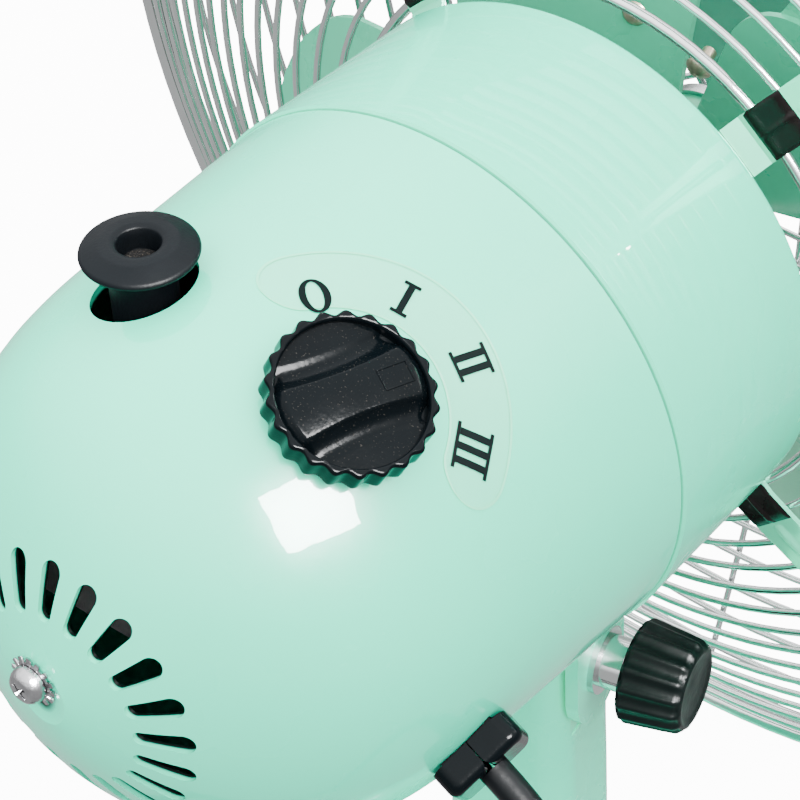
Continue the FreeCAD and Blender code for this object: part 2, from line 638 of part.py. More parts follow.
def make_worm():
    """A single-start worm turned on a sleeve, and the wheel it drives."""
    pitch = WORM_MODULE * pi
    turns = 9
    root = WORM_PITCH_R - 1.0
    tip = WORM_PITCH_R + 0.7
    helix = Part.makeHelix(pitch, pitch * turns, root)
    profile = outline([(root - 0.4, 0, -0.62), (tip, 0, -0.3), (tip, 0, 0.3), (root - 0.4, 0, 0.62)])
    thread = Part.Wire(helix.Edges).makePipeShell([profile.OuterWire], True, True)
    thread.rotate(V(0, 0, 0), X, -90)
    thread.translate(V(0, WORM_START, HUB_Z))
    sleeve = rod(root, V(0, WORM_START - 2.0, HUB_Z), Y, pitch * turns + 4.0)
    worm = sleeve.fuse(thread).cut(rod(1.9, V(0, 20, HUB_Z), Y, 80))
    save("worm", worm)

    wheel = toothed(WHEEL_TEETH, WORM_MODULE, 5.0, 2.55, 0.62)
    hub = pipe(5.0, 2.5 + RUN, V(0, 0, -3.0), Z, 8.0)
    wheel = wheel.fuse(hub).removeSplitter()
    wheel.translate(V(CLUTCH_X, OSC_Y, HUB_Z - 2.5))
    save("worm_wheel", wheel)


def make_gearbox():
    outer = block(BOX_X, BOX_Y, BOX_Z)
    inner = block((BOX_X[0] + BOX_WALL, BOX_X[1] - BOX_WALL), (BOX_Y[0] + BOX_WALL, BOX_Y[1] - BOX_WALL),
                  (BOX_Z[0] + BOX_WALL, BOX_Z[1] + 1))
    body = outer.cut(inner)
    body = body.cut(rod(SHAFT_R + 1.0, V(0, BOX_Y[0] - 1, HUB_Z), Y, 6))
    body = body.cut(rod(1.9 + RUN, V(0, BOX_Y[1] - 4, HUB_Z), Y, 3.6))
    body = body.cut(rod(2.5 + RUN, V(CLUTCH_X, OSC_Y, BOX_Z[0] - 1), Z, 5))
    save("gearbox_body", body)
    lid = block(BOX_X, BOX_Y, (BOX_Z[1], BOX_Z[1] + 2.0))
    lid = lid.cut(rod(4.4, V(CLUTCH_X, OSC_Y, BOX_Z[1] - 1), Z, 5))
    save("gearbox_lid", lid)
    posts = []
    for x in (-16.0, 16.0):
        posts.append(rod(3.2, V(x, FRAME_Y[1], HUB_Z), Y, BOX_Y[0] - FRAME_Y[1]))
    save("gearbox_posts", *posts)

    low = CRANK_Z + CRANK_H + 1.0
    clutch = rod(2.5, V(CLUTCH_X, OSC_Y, low), Z, BOX_Z[1] + 1.5 - low)
    clutch = clutch.fuse(rod(1.6, V(CLUTCH_X, OSC_Y, low), Z, COLLAR_Z + 1.0 - low))
    clutch = clutch.fuse(rod(3.6, V(CLUTCH_X, OSC_Y, COLLAR_Z), Z, 1.0))
    pinion = toothed(PINION_TEETH, GEAR_MODULE, CRANK_H + 1.6, 1.0, 0.72)
    pinion.rotate(V(0, 0, 0), Z, degrees(atan2(CRANK_Y - OSC_Y, -CLUTCH_X)))
    pinion.translate(V(CLUTCH_X, OSC_Y, CRANK_Z))
    plug = rod(1.2, V(CLUTCH_X, OSC_Y, CRANK_Z), Z, 6.0)
    save("clutch_shaft", clutch.fuse(pinion).fuse(plug).removeSplitter())

    gear = toothed(CRANK_TEETH, GEAR_MODULE, CRANK_H, 2.5 + RUN, 0.72)
    gear.rotate(V(0, 0, 0), Z, degrees(atan2(OSC_Y - CRANK_Y, CLUTCH_X)) + 180.0 / CRANK_TEETH)
    gear.translate(V(0, CRANK_Y, CRANK_Z))
    pin_spot = V(CRANK_PIN.x, CRANK_PIN.y, LINK_Z - 1.0)
    gear = gear.fuse(rod(PIN_R, pin_spot, Z, CRANK_Z + CRANK_H - LINK_Z + 1.0))
    save("crank_gear", gear.removeSplitter())
    spindle = rod(2.5, V(0, CRANK_Y, CRANK_Z - 1.6), Z, BOX_Z[0] - CRANK_Z + 1.6)
    collar = pipe(4.5, 2.5, V(0, CRANK_Y, CRANK_Z + CRANK_H + 0.3), Z, BOX_Z[0] - CRANK_Z - CRANK_H - 0.3)
    clip = pipe(3.6, 2.5, V(0, CRANK_Y, CRANK_Z - 1.2), Z, 0.8)
    save("crank_spindle", spindle.fuse(collar).removeSplitter(), clip)

    anchor = V(-ARM_PIN, SWING_Y, LINK_Z)
    along = V(cos(LINK_ANGLE), sin(LINK_ANGLE), 0)
    across = V(-along.y, along.x, 0)
    elbow = anchor + along * (LINK_LENGTH * 0.32) + across * 5.5
    eye = anchor + along * LINK_LENGTH
    link = rod(3.8, anchor, Z, LINK_H).fuse(rod(2.4, elbow, Z, LINK_H)).fuse(rod(EYE_R + 2.2, eye, Z, LINK_H))
    for start, end in ((anchor, elbow), (elbow, eye)):
        run = V(end - start).normalize()
        side = V(-run.y, run.x, 0) * 2.4
        bar = outline([tuple(start + side), tuple(start - side), tuple(end - side), tuple(end + side)])
        link = link.fuse(bar.extrude(V(0, 0, LINK_H)))
    link = link.cut(rod(PIN_R + RUN, anchor - Z, Z, 6)).cut(rod(EYE_R, eye - Z, Z, 6)).removeSplitter()
    print("  crank and link turn %.4f and %.4f times the oscillation" % RATIOS)
    save("link_bar", link)


# ---------------------------------------------------------------- oscillation knob
KNOB_UP = 6.4             # underside of the cap above the shell at rest, pulled up
KNOB_TRAVEL = 3.8


def make_osc_knob():
    """Mushroom cap and stem, with a bell at its foot that lifts the clutch shaft's collar."""
    low = HUB_Z + sqrt(shell_radius(OSC_T) ** 2 - CLUTCH_X ** 2) + KNOB_UP
    top = COLLAR_Z + KNOB_TRAVEL + 3.2
    cap = lathe_z([(4.0, low + 2.6), (4.0, low + 4.3), (5.2, low + 4.5), (6.4, low + 4.3), (10.6, low + 1.5),
                   (10.9, low + 0.9), (10.6, low + 0.2), (9.6, low), (6.2, low - 0.6), (6.2, top), (0, top),
                   (0, low - 3.4), (4.0, low - 3.4)], CLUTCH_X, OSC_Y)
    save("osc_knob", cap)
    foot = V(CLUTCH_X, OSC_Y, COLLAR_Z - 2.0)
    bell = rod(5.6, foot, Z, KNOB_TRAVEL + 5.2)
    bell = bell.cut(rod(4.0, foot + Z, Z, KNOB_TRAVEL + 3.2)).cut(rod(2.3, foot - Z, Z, 4.0))
    save("clutch_lifter", bell)


# ---------------------------------------------------------------- speed knob and electrics
DIAL_R = 15.4
DIAL_FACE_R = 13.4


def make_speed_knob():
    """Fluted dial with a raised grip, modelled about +Z and aimed along the shell's normal."""
    low = 1.0
    high = 6.4
    body = rod(DIAL_R, V(0, 0, low), Z, high - low)
    for i in range(22):
        a = 2 * pi * (i + 0.5) / 22
        body = body.cut(rod(1.7, V((DIAL_R + 0.9) * cos(a), (DIAL_R + 0.9) * sin(a), 0), Z, 10))
    body = body.cut(rod(DIAL_FACE_R, V(0, 0, high - 1.6), Z, 5))
    grip = block((-DIAL_FACE_R + 0.1, DIAL_FACE_R - 0.1), (-4.4, 4.4), (high - 1.7, high + 1.4))
    grip = grip.makeFillet(2.2, [e for e in grip.Edges if abs(e.BoundBox.ZMin - high - 1.4) < 0.01])
    grip = grip.common(rod(DIAL_FACE_R - 0.1, V(0, 0, 0), Z, 12))
    body = body.fuse(grip).fuse(rod(3.0, V(0, 0, -7.6), Z, 9.0)).removeSplitter()
    save("speed_knob", aimed_dial(body, KNOB_REST))
    switch = block((-13, 13), (-11, 11), (-20.0, -4.5))
    switch = switch.fuse(rod(4.0, V(0, 0, -5), Z, 4.4)).cut(rod(3.0 + RUN, V(0, 0, -8), Z, 12))
    save("speed_switch", aimed_dial(switch, 0))
    layer = offset_dome(-0.14).cut(offset_dome(-0.02))
    sector = pipe(32.0, 18.0, V(0, 0, -20), Z, 30)
    wedge = Part.makeCylinder(40, 30, V(0, 0, -20), Z, 147.0)
    wedge.rotate(V(0, 0, 0), Z, -73.5)
    layer = layer.common(aimed_dial(sector.common(wedge), 0))
    save("dial_label", layer)


KNOB_REST = -18.0         # the pointer stands at the third mark


def aimed_dial(shape, turn):
    """Aim +Z along the knob's axis, with +X forward (towards the grille) at a turn of 0."""
    forward = -Y - KNOB_NORMAL * (-Y).dot(KNOB_NORMAL)
    forward.normalize()
    across = KNOB_NORMAL.cross(forward)
    matrix = FreeCAD.Matrix(forward.x, across.x, KNOB_NORMAL.x, KNOB_POINT.x,
                            forward.y, across.y, KNOB_NORMAL.y, KNOB_POINT.y,
                            forward.z, across.z, KNOB_NORMAL.z, KNOB_POINT.z, 0, 0, 0, 1)
    copy = shape.copy()
    copy.rotate(V(0, 0, 0), Z, turn)
    copy.Placement = FreeCAD.Placement(matrix).multiply(copy.Placement)
    return copy


def make_capacitor():
    can = block((22.5, 40.0), (12.0, 40.0), (HUB_Z - 16, HUB_Z + 14))
    can = can.makeFillet(2.0, can.Edges)
    strap = block((20.0, 24.0), (FRAME_Y[1], 30.0), (HUB_Z - 12, HUB_Z - 4))
    save("capacitor", can.fuse(strap).removeSplitter())


# ---------------------------------------------------------------- grille
def bowl_y(radius):
    u = max(0.0, (radius - RING_R) / (RIM_R - RING_R))
    return SEAM_Y - RING_T - (RIM_T - RING_T) * u ** BOWL_POWER


def front_y(radius):
    return FRONT_RIM_Y - FRONT_DEPTH * (1 - (radius / RIM_R) ** 2.2)


def hoop(radius, y, wire):
    return Part.makeTorus(radius, wire, V(0, y, HUB_Z), Y)


def strut():
    """A flat strip with a raised rib, from the front plate out to the rim, at the top."""
    inner_y = SEAM_Y - BAND_LENGTH - 2.0
    rise = [(24.0, inner_y - STRUT_THICK), (56.5, inner_y - STRUT_THICK), (59.5, bowl_y(RING_R) + FIRST_WIRE_R + 0.15)]
    rise += [(64.0, bowl_y(64.0) + FIRST_WIRE_R + 0.05)]
    rise += [(r, bowl_y(r) + WIRE_R + 0.12) for r in (70.0, 82.0, 96.0, 112.0, 130.0, 148.0)]
    rise += [(RIM_R - 0.5, bowl_y(RIM_R) + RIM_WIRE_R + 0.1)]
    front = [(0, y, HUB_Z + r) for r, y in rise]
    back = [(0, y + STRUT_THICK, HUB_Z + r) for r, y in rise[::-1]]
    strip = outline(front + back).extrude(V(11.0, 0, 0))
    strip.translate(V(-5.5, 0, 0))
    return strip


def make_rear_grille():
    rings = []
    for i in range(RING_COUNT):
        radius = RING_R + i * RING_PITCH
        wire = FIRST_WIRE_R if i == 0 else WIRE_R
        rings.append(hoop(radius, bowl_y(radius), wire))
    rings.append(hoop(RIM_R, bowl_y(RIM_R), RIM_WIRE_R))
    save("rear_grille_rings", *rings)
    strip = strut()
    strips = []
    for angle in STRUT_ANGLES:
        spot = V(0, SEAM_Y - BAND_LENGTH - 6, HUB_Z + STRUT_SCREW_R)
        holed = strip.cut(rod(2.0, spot, Y, 8))
        strips.append(spin(holed, angle))
    save("rear_grille_struts", *strips)
    screws = []
    for angle in STRUT_ANGLES:
        face = around(angle, STRUT_SCREW_R, SEAM_Y - BAND_LENGTH - 2.0)
        screw = pan_head_screw(1.98, 4.6, 4.0, 2.2)
        screws.append(aimed(screw, face - Y * STRUT_THICK, V(0, -1, 0)))
    save("strut_screws", *screws)


def make_front_grille():
    rings = []
    for i in range(FRONT_RINGS):
        radius = FRONT_RING_R + i * 7.8
        rings.append(hoop(radius, front_y(radius), WIRE_R))
    rings.append(hoop(RIM_R, FRONT_RIM_Y, RIM_WIRE_R))
    save("front_grille_rings", *rings)
    ribs = []
    offset = 2 * WIRE_R + 0.35
    for i in range(FRONT_RIBS):
        start = V(0, front_y(BADGE_R) - offset, HUB_Z + BADGE_R + 0.3)
        middle = V(0, front_y(110.0) - offset, HUB_Z + 110.0)
        end = V(0, front_y(RIM_R) - offset - 1.0, HUB_Z + RIM_R)
        path = Part.Wire([Part.Arc(start, middle, end).toShape()])
        ring = Part.Wire([Part.makeCircle(WIRE_R, start, middle - start)])
        rib = path.makePipeShell([ring], True, False)
        ribs.append(spin(rib, i * 360.0 / FRONT_RIBS))
    save("front_grille_ribs", *ribs)
    y = front_y(BADGE_R)
    badge = lathe_y([(y + 2, 0), (y + 2, BADGE_R), (y - 3.4, BADGE_R), (y - 5.0, BADGE_R - 2.5), (y - 6.0, 20),
                     (y - 6.0, 0)])
    save("centre_badge", badge)
    clips = []
    for i in range(6):
        y = (bowl_y(RIM_R) + FRONT_RIM_Y) / 2
        shape = block((-6, 6), (y - 5.6, y + 5.6), (HUB_Z + RIM_R + RIM_WIRE_R, HUB_Z + RIM_R + RIM_WIRE_R + 1.4))
        clips.append(spin(shape, 30 + 60 * i))
    save("rim_clips", *clips)


# ---------------------------------------------------------------- blades
RIVETS = ((54.0, -33.0), (37.0, 15.0))
CAMBER_R = 260.0
SHEET = 1.3
BLADE_SLICE = 160.0


def petal(inner_r, outer_r, half_in, half_out, corner):
    """A prism along Y over a rounded outline that points up from the motor axis."""
    low = HUB_Z + inner_r
    high = HUB_Z + sqrt(outer_r ** 2 - half_out ** 2)
    edges = [Part.LineSegment(V(-half_in, 0, low), V(half_in, 0, low)).toShape(),
             Part.LineSegment(V(half_in, 0, low), V(half_out, 0, high)).toShape(),
             Part.Arc(V(half_out, 0, high), V(0, 0, HUB_Z + outer_r), V(-half_out, 0, high)).toShape(),
             Part.LineSegment(V(-half_out, 0, high), V(-half_in, 0, low)).toShape()]
    solid = Part.Face(Part.Wire(edges)).extrude(V(0, 120, 0))
    solid.translate(V(0, BLADE_Y - 60, 0))
    tall = [e for e in solid.Edges if abs(e.BoundBox.YLength - 120) < 0.01]
    outer = [e for e in tall if e.BoundBox.ZMax > high - 1]
    return solid.makeFillet(corner, outer)


def bent_sheet(front, thick):
    """A cambered, pitched and coned sheet, hollow towards the front, whose middle passes the hub plane."""
    sheet = rod(CAMBER_R + front + thick, V(0, -CAMBER_R, -10), Z, BLADE_SLICE)
    sheet = sheet.cut(rod(CAMBER_R + front, V(0, -CAMBER_R, -11), Z, BLADE_SLICE + 2))
    sheet = sheet.common(block((-80, 80), (-60, 20), (-12, BLADE_SLICE + 12)))
    sheet.rotate(V(0, 0, 0), Z, BLADE_PITCH)
    sheet.rotate(V(0, 0, 0), X, BLADE_CONE)
    sheet.translate(V(0, BLADE_Y, HUB_Z))
    return sheet


def make_blades():
    blade = petal(25, BLADE_TIP_R, 17, 62, 34).common(bent_sheet(0, SHEET))
    arm = petal(9, 62, 6, 36, 12).common(bent_sheet(SHEET, 1.6))
    rivet_shapes = []
    for radius, angle in RIVETS:
        spot = around(angle, radius, BLADE_Y)
        for reach in range(-200, 200):
            y = BLADE_Y + reach * 0.1
            if blade.isInside(V(spot.x, y, spot.z), 0.01, True):
                break
        axis = V(sin(radians(BLADE_PITCH)), -cos(radians(BLADE_PITCH)), 0)
        seat = V(spot.x, y, spot.z)
        hole = rod(1.5, seat + axis * 8, axis * -1, 16)
        blade = blade.cut(hole)
        arm = arm.cut(hole)
        shank = rod(1.5, seat + axis * 1.7, axis * -1, 4.4)
        dome = Part.makeSphere(3.2, V(0, 0, -1.6)).common(block((-4, 4), (-4, 4), (0, 4)))
        rivet_shapes.append(shank.fuse(aimed(dome, seat - axis * 3.05, axis * -1)))
    hub = rod(13.0, V(0, BLADE_Y - 12, HUB_Z), Y, 24.0)
    blades = []
    arms = hub
    rivets = []
    for i in range(BLADES):
        angle = GAP_ANGLE + 45 + i * 360.0 / BLADES
        blades.append(spin(blade, angle))
        arms = arms.fuse(spin(arm, angle))
        rivets.extend(spin(rivet, angle) for rivet in rivet_shapes)
    arms = arms.cut(rod(SHAFT_R, V(0, -140, HUB_Z), Y, 120)).removeSplitter()
    save("blades", *blades)
    save("blade_hub", arms)
    save("blade_rivets", *rivets)
    shaft = rod(SHAFT_R, V(0, BLADE_Y - 20, HUB_Z), Y, WORM_START - 2.0 - BLADE_Y + 20)
    shaft = shaft.fuse(rod(1.9, V(0, BLADE_Y, HUB_Z), Y, SHAFT_END - BLADE_Y))
    save("motor_shaft", shaft.removeSplitter())
    nut = lathe_y([(BLADE_Y - 12, SHAFT_R), (BLADE_Y - 12, 14), (BLADE_Y - 15, 14), (BLADE_Y - 20, 11),
                   (BLADE_Y - 24, 6), (BLADE_Y - 25, 0), (BLADE_Y - 20, 0), (BLADE_Y - 20, SHAFT_R)])
    save("spinner_nut", nut)


# ---------------------------------------------------------------- mains cord
COIL_CENTRE = V(7.5, 160.7, 0)
COIL_R = 34.0             # radius at the middle of the turns
COIL_HEIGHT = 11.6
PLUG_ANGLE = 30.0         # where the last turn leaves the coil
PLUG_AHEAD = 24.5         # straight cord between the last turn and the plug
PLUG_Z = 8.5


def make_cord():
    """The cord leaves the bushing, hangs to the table and ends in a coil behind the base."""
    start = RELIEF_POINT + RELIEF_NORMAL * RELIEF_SIZE[2]
    ahead = start + RELIEF_NORMAL * 32.0
    hang = [start, ahead, V(-107.0, 84.0, 222.0), V(-112.0, 98.0, 166.0), V(-110.0, 105.0, 118.0)]
    rest = [V(-110.0, 105.0, 118.0), V(-108.1, 111.65, 72.4), V(-102.0, 124.0, 34.0), V(-84.0, 142.0, 9.0),
            V(-54.0, 158.0, CORD_R), V(-20.0, 190.0, CORD_R)]
    save("cord_upper", tube_along(hang, CORD_R))
    save("cord_lower", tube_along(rest, CORD_R))
    coil = pipe(COIL_R + 3 * CORD_R, COIL_R - 3 * CORD_R, COIL_CENTRE, Z, COIL_HEIGHT)
    save("cord_coil", coil)


def oval(half_x, half_y, z):
    """Closed outline of a slot shape, half_x to its round ends, about +Z."""
    flat = half_x - half_y
    low = Part.LineSegment(V(-flat, -half_y, z), V(flat, -half_y, z)).toShape()
    right = Part.Arc(V(flat, -half_y, z), V(half_x, 0, z), V(flat, half_y, z)).toShape()
    top = Part.LineSegment(V(flat, half_y, z), V(-flat, half_y, z)).toShape()
    left = Part.Arc(V(-flat, half_y, z), V(-half_x, 0, z), V(-flat, -half_y, z)).toShape()
    return Part.Wire([low, right, top, left])


def make_plug():
    """Two-pin moulded plug that lies beside the coil, where the last turn leaves it."""
    a = radians(PLUG_ANGLE)
    ahead = V(sin(a), -cos(a), 0)
    tail = COIL_CENTRE + V(cos(a), sin(a), 0) * (COIL_R + 2 * CORD_R) + ahead * PLUG_AHEAD + Z * PLUG_Z
    body = Part.makeLoft([oval(18.2, 8.2, 40.0), oval(17.6, 8.2, 28.0), oval(11.0, 7.4, 15.0), oval(6.0, 5.4, 9.0)],
                         True, False)
    relief = Part.makeCone(CORD_R + 1.0, 5.0, 10.0)
    body = body.fuse(relief).removeSplitter()
    pins = []
    for x in (-9.5, 9.5):
        pin = rod(2.4, V(x, 0, 34.0), Z, 25.0)
        body = body.cut(pin)
        pins.append(pin)
    rotation = FreeCAD.Rotation(ahead.cross(Z) * -1, V(0, 0, 1), ahead, "ZXY")
    for node, shapes in (("plug_body", [body]), ("plug_pins", pins)):
        for shape in shapes:
            shape.Placement = FreeCAD.Placement(tail, rotation).multiply(shape.Placement)
        save(node, *shapes)


make_base()
make_neck()
make_tilt_block()
make_tilt_knob()
make_housing()
make_relief()
make_motor()
make_worm()
make_gearbox()
make_osc_knob()
make_speed_knob()
make_capacitor()
make_rear_grille()
make_front_grille()
make_blades()
make_cord()
make_plug()
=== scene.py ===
"""Looks of the retro desk fan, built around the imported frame.

Metres, +Z up, the fan blows towards -Y.  Sizes are written in millimetres and turned
into metres by mm().  The motor axis runs along Y at the height HUB_Z.
"""
import bpy
import json
from math import pi, sin, cos, radians, sqrt, hypot
from mathutils import Matrix, Vector
from mathutils.bvhtree import BVHTree


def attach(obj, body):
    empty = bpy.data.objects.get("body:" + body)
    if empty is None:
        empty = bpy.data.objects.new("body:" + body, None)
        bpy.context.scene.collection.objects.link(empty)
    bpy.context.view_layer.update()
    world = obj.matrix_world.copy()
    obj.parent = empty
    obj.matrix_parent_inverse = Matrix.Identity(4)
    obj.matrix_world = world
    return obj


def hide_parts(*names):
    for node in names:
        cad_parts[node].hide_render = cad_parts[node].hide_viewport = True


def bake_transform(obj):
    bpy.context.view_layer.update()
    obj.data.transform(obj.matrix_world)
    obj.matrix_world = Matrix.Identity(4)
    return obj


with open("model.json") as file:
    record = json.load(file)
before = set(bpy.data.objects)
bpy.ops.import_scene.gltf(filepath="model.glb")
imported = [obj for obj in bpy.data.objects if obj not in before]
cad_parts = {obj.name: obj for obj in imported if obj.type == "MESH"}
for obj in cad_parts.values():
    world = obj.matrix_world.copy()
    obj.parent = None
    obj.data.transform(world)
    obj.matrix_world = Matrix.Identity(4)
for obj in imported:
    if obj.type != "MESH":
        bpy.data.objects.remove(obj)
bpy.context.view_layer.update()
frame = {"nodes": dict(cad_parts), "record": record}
nodes = frame["nodes"]

X = Vector((1, 0, 0))
Y = Vector((0, 1, 0))
Z = Vector((0, 0, 1))

HUB_Z = 300.0
TILT_Z = 205.0
TILT_Y = -25.0
FORK_TURN = 12.0          # the neck stands turned this far about Z
SEAM_Y = 4.0
SHELL_R = 59.7
SHELL_TAPER = 0.037
SHELL_STRAIGHT = 38.1
SHELL_LENGTH = 109.3
DOME_POWER = 3.335
OSC_T = 57.9
KNOB_T = 57.5
KNOB_ANGLE = 31.0
OSC_X = 15.6
RELIEF_T = 56.0
RELIEF_ANGLE = 112.0
RELIEF_PROUD = 6.3
CORD_R = 3.1


def mm(*values):
    """Millimetres to metres: one number, or a point."""
    scaled = [value * 0.001 for value in values]
    return scaled[0] if len(scaled) == 1 else Vector(scaled)


def around(angle, radius, y):
    """A point at an angle from the top towards -X, on a circle about the motor axis."""
    a = radians(angle)
    return Vector((-mm(radius) * sin(a), mm(y), mm(HUB_Z) + mm(radius) * cos(a)))


def shell_radius(t):
    """Outer radius of the rear shell at a distance t behind the seam."""
    radius = SHELL_R - SHELL_TAPER * t
    if t > SHELL_STRAIGHT:
        x = (t - SHELL_STRAIGHT) / (SHELL_LENGTH - SHELL_STRAIGHT)
        radius *= max(0.0, 1 - x ** DOME_POWER) ** (1 / 1.5)
    return radius


def shell_normal(t, angle):
    """Outward direction of the rear shell at a place on it."""
    slope = (shell_radius(t + 0.05) - shell_radius(t - 0.05)) / 0.1
    a = radians(angle)
    return Vector((-sin(a), -slope, cos(a))).normalized()


KNOB_POINT = around(KNOB_ANGLE, shell_radius(KNOB_T), SEAM_Y + KNOB_T)
KNOB_NORMAL = shell_normal(KNOB_T, KNOB_ANGLE)
RELIEF_POINT = around(RELIEF_ANGLE, shell_radius(RELIEF_T), SEAM_Y + RELIEF_T)
RELIEF_NORMAL = shell_normal(RELIEF_T, RELIEF_ANGLE)

# ---------------------------------------------------------------- camera
CAMERA_AT = Vector((-0.2855, 0.3390, 0.67825))
CAMERA_AIM = Vector((0.00292, 0.0101, 0.2975))
CAMERA_ROLL = -3.41
CAMERA_LENS = 133.1


def make_camera():
    """The camera, close behind the fan and above it."""
    data = bpy.data.cameras.new("camera")
    data.sensor_width = 36.0
    data.lens = CAMERA_LENS
    data.clip_start = 0.01
    data.clip_end = 50.0
    camera = bpy.data.objects.new("camera", data)
    bpy.context.scene.collection.objects.link(camera)
    aim = (CAMERA_AIM - CAMERA_AT).to_track_quat("-Z", "Y")
    roll = Matrix.Rotation(radians(CAMERA_ROLL), 4, "Z")
    camera.matrix_world = Matrix.Translation(CAMERA_AT) @ aim.to_matrix().to_4x4() @ roll
    bpy.context.scene.camera = camera


make_camera()


# ---------------------------------------------------------------- mesh helpers
def add_mesh(name, points, faces, material, smooth_angle=35.0):
    """A mesh object in the scene, smooth but for edges sharper than the angle."""
    mesh = bpy.data.meshes.new(name)
    mesh.from_pydata([tuple(p) for p in points], [], faces)
    mesh.update()
    mesh.validate()
    piece = bpy.data.objects.new(name, mesh)
    bpy.context.scene.collection.objects.link(piece)
    if material is not None:
        mesh.materials.append(material)
    mesh.shade_smooth()
    mesh.set_sharp_from_angle(angle=radians(smooth_angle))
    return piece


def axes_about(direction, toward=None):
    """Two directions across a third; the first leans toward a given one."""
    w = Vector(direction).normalized()
    if toward is None:
        toward = X if abs(w.x) < 0.9 else Y
    u = (toward - w * toward.dot(w)).normalized()
    return u, w.cross(u), w


def grid_faces(rows, columns, closed_rows=False):
    """Faces of a grid whose columns close on themselves."""
    faces = []
    last = rows if closed_rows else rows - 1
    for i in range(last):
        for j in range(columns):
            k = (j + 1) % columns
            n = (i + 1) % rows
            faces.append((i * columns + j, i * columns + k, n * columns + k, n * columns + j))
    return faces


def tube(name, path, radius, sides, material, closed=False):
    """A round tube along a fine path."""
    count = len(path)
    rings = []
    u = None
    for i, here in enumerate(path):
        before = path[(i - 1) % count] if closed or i > 0 else here
        after = path[(i + 1) % count] if closed or i < count - 1 else here
        w = (after - before).normalized()
        if u is None:
            u = axes_about(w)[0]
        u = (u - w * u.dot(w)).normalized()
        v = w.cross(u)
        for j in range(sides):
            a = 2 * pi * j / sides
            rings.append(here + (u * cos(a) + v * sin(a)) * radius)
    faces = grid_faces(count, sides, closed)
    if not closed:
        faces.append(tuple(range(sides - 1, -1, -1)))
        faces.append(tuple(range((count - 1) * sides, count * sides)))
    return add_mesh(name, rings, faces, material)


def rounded(profile, radius, steps=4):
    """A (radius, height) profile in mm with each inner corner rounded off."""
    result = [profile[0]]
    for before, here, after in zip(profile, profile[1:], profile[2:]):
        p, q, r = Vector(before[:2]), Vector(here[:2]), Vector(after[:2])
        reach = min(radius, (p - q).length * 0.45, (r - q).length * 0.45)
        start = q + (p - q).normalized() * reach
        end = q + (r - q).normalized() * reach
        for k in range(steps + 1):
            s = k / steps
            point = start * (1 - s) ** 2 + q * 2 * s * (1 - s) + end * s ** 2
            result.append((point.x, point.y) + tuple(here[2:]))
    result.append(profile[-1])
    return result


def turned(name, profile, origin, axis, material, segments=128, flute=None, toward=None):
    """Turn a (radius, height) profile in mm about an axis.

    A third number in a profile point is how deep the flutes cut there, and flute(angle)
    gives the share of that depth at an angle.
    """
    u, v, w = axes_about(axis, toward)
    points = []
    for entry in profile:
        for j in range(segments):
            a = 2 * pi * j / segments
            r = entry[0]
            if flute is not None and len(entry) > 2:
                r -= entry[2] * flute(a)
            points.append(origin + (u * cos(a) + v * sin(a)) * mm(r) + w * mm(entry[1]))
    faces = grid_faces(len(profile), segments)
    if profile[0][0] > 0.01:
        faces.append(tuple(range(segments - 1, -1, -1)))
    if profile[-1][0] > 0.01:
        faces.append(tuple(range((len(profile) - 1) * segments, len(profile) * segments)))
    return add_mesh(name, points, faces, material)


# ---------------------------------------------------------------- materials
def link(tree, source, target):
    """Join two shader sockets."""
    tree.links.new(source, target)


def noise(tree, scale, detail=2.0, stretch=None):
    """A noise texture in the object's own space."""
    coordinate = tree.nodes.new("ShaderNodeTexCoord")
    texture = tree.nodes.new("ShaderNodeTexNoise")
    texture.inputs["Scale"].default_value = scale
    texture.inputs["Detail"].default_value = detail
    if stretch is None:
        link(tree, coordinate.outputs["Object"], texture.inputs["Vector"])
    else:
        mapping = tree.nodes.new("ShaderNodeMapping")
        mapping.inputs["Scale"].default_value = stretch
        link(tree, coordinate.outputs["Object"], mapping.inputs["Vector"])
        link(tree, mapping.outputs["Vector"], texture.inputs["Vector"])
    return texture.outputs["Fac"]


def spread(tree, source, low, high, start=0.3, end=0.7):
    """Map a value between start and end onto low to high, and clamp it."""
    node = tree.nodes.new("ShaderNodeMapRange")
    node.inputs["From Min"].default_value = start
    node.inputs["From Max"].default_value = end
    node.inputs["To Min"].default_value = low
    node.inputs["To Max"].default_value = high
    link(tree, source, node.inputs["Value"])
    return node.outputs["Result"]


def blend_colours(tree, factor, first, second):
    """Mix two colours, each a socket or three numbers."""
    node = tree.nodes.new("ShaderNodeMix")
    node.data_type = "RGBA"
    link(tree, factor, node.inputs["Factor"])
    for socket, colour in ((node.inputs[6], first), (node.inputs[7], second)):
        if hasattr(colour, "default_value"):
            link(tree, colour, socket)
        else:
            socket.default_value = (*colour, 1.0)
    return node.outputs[2]


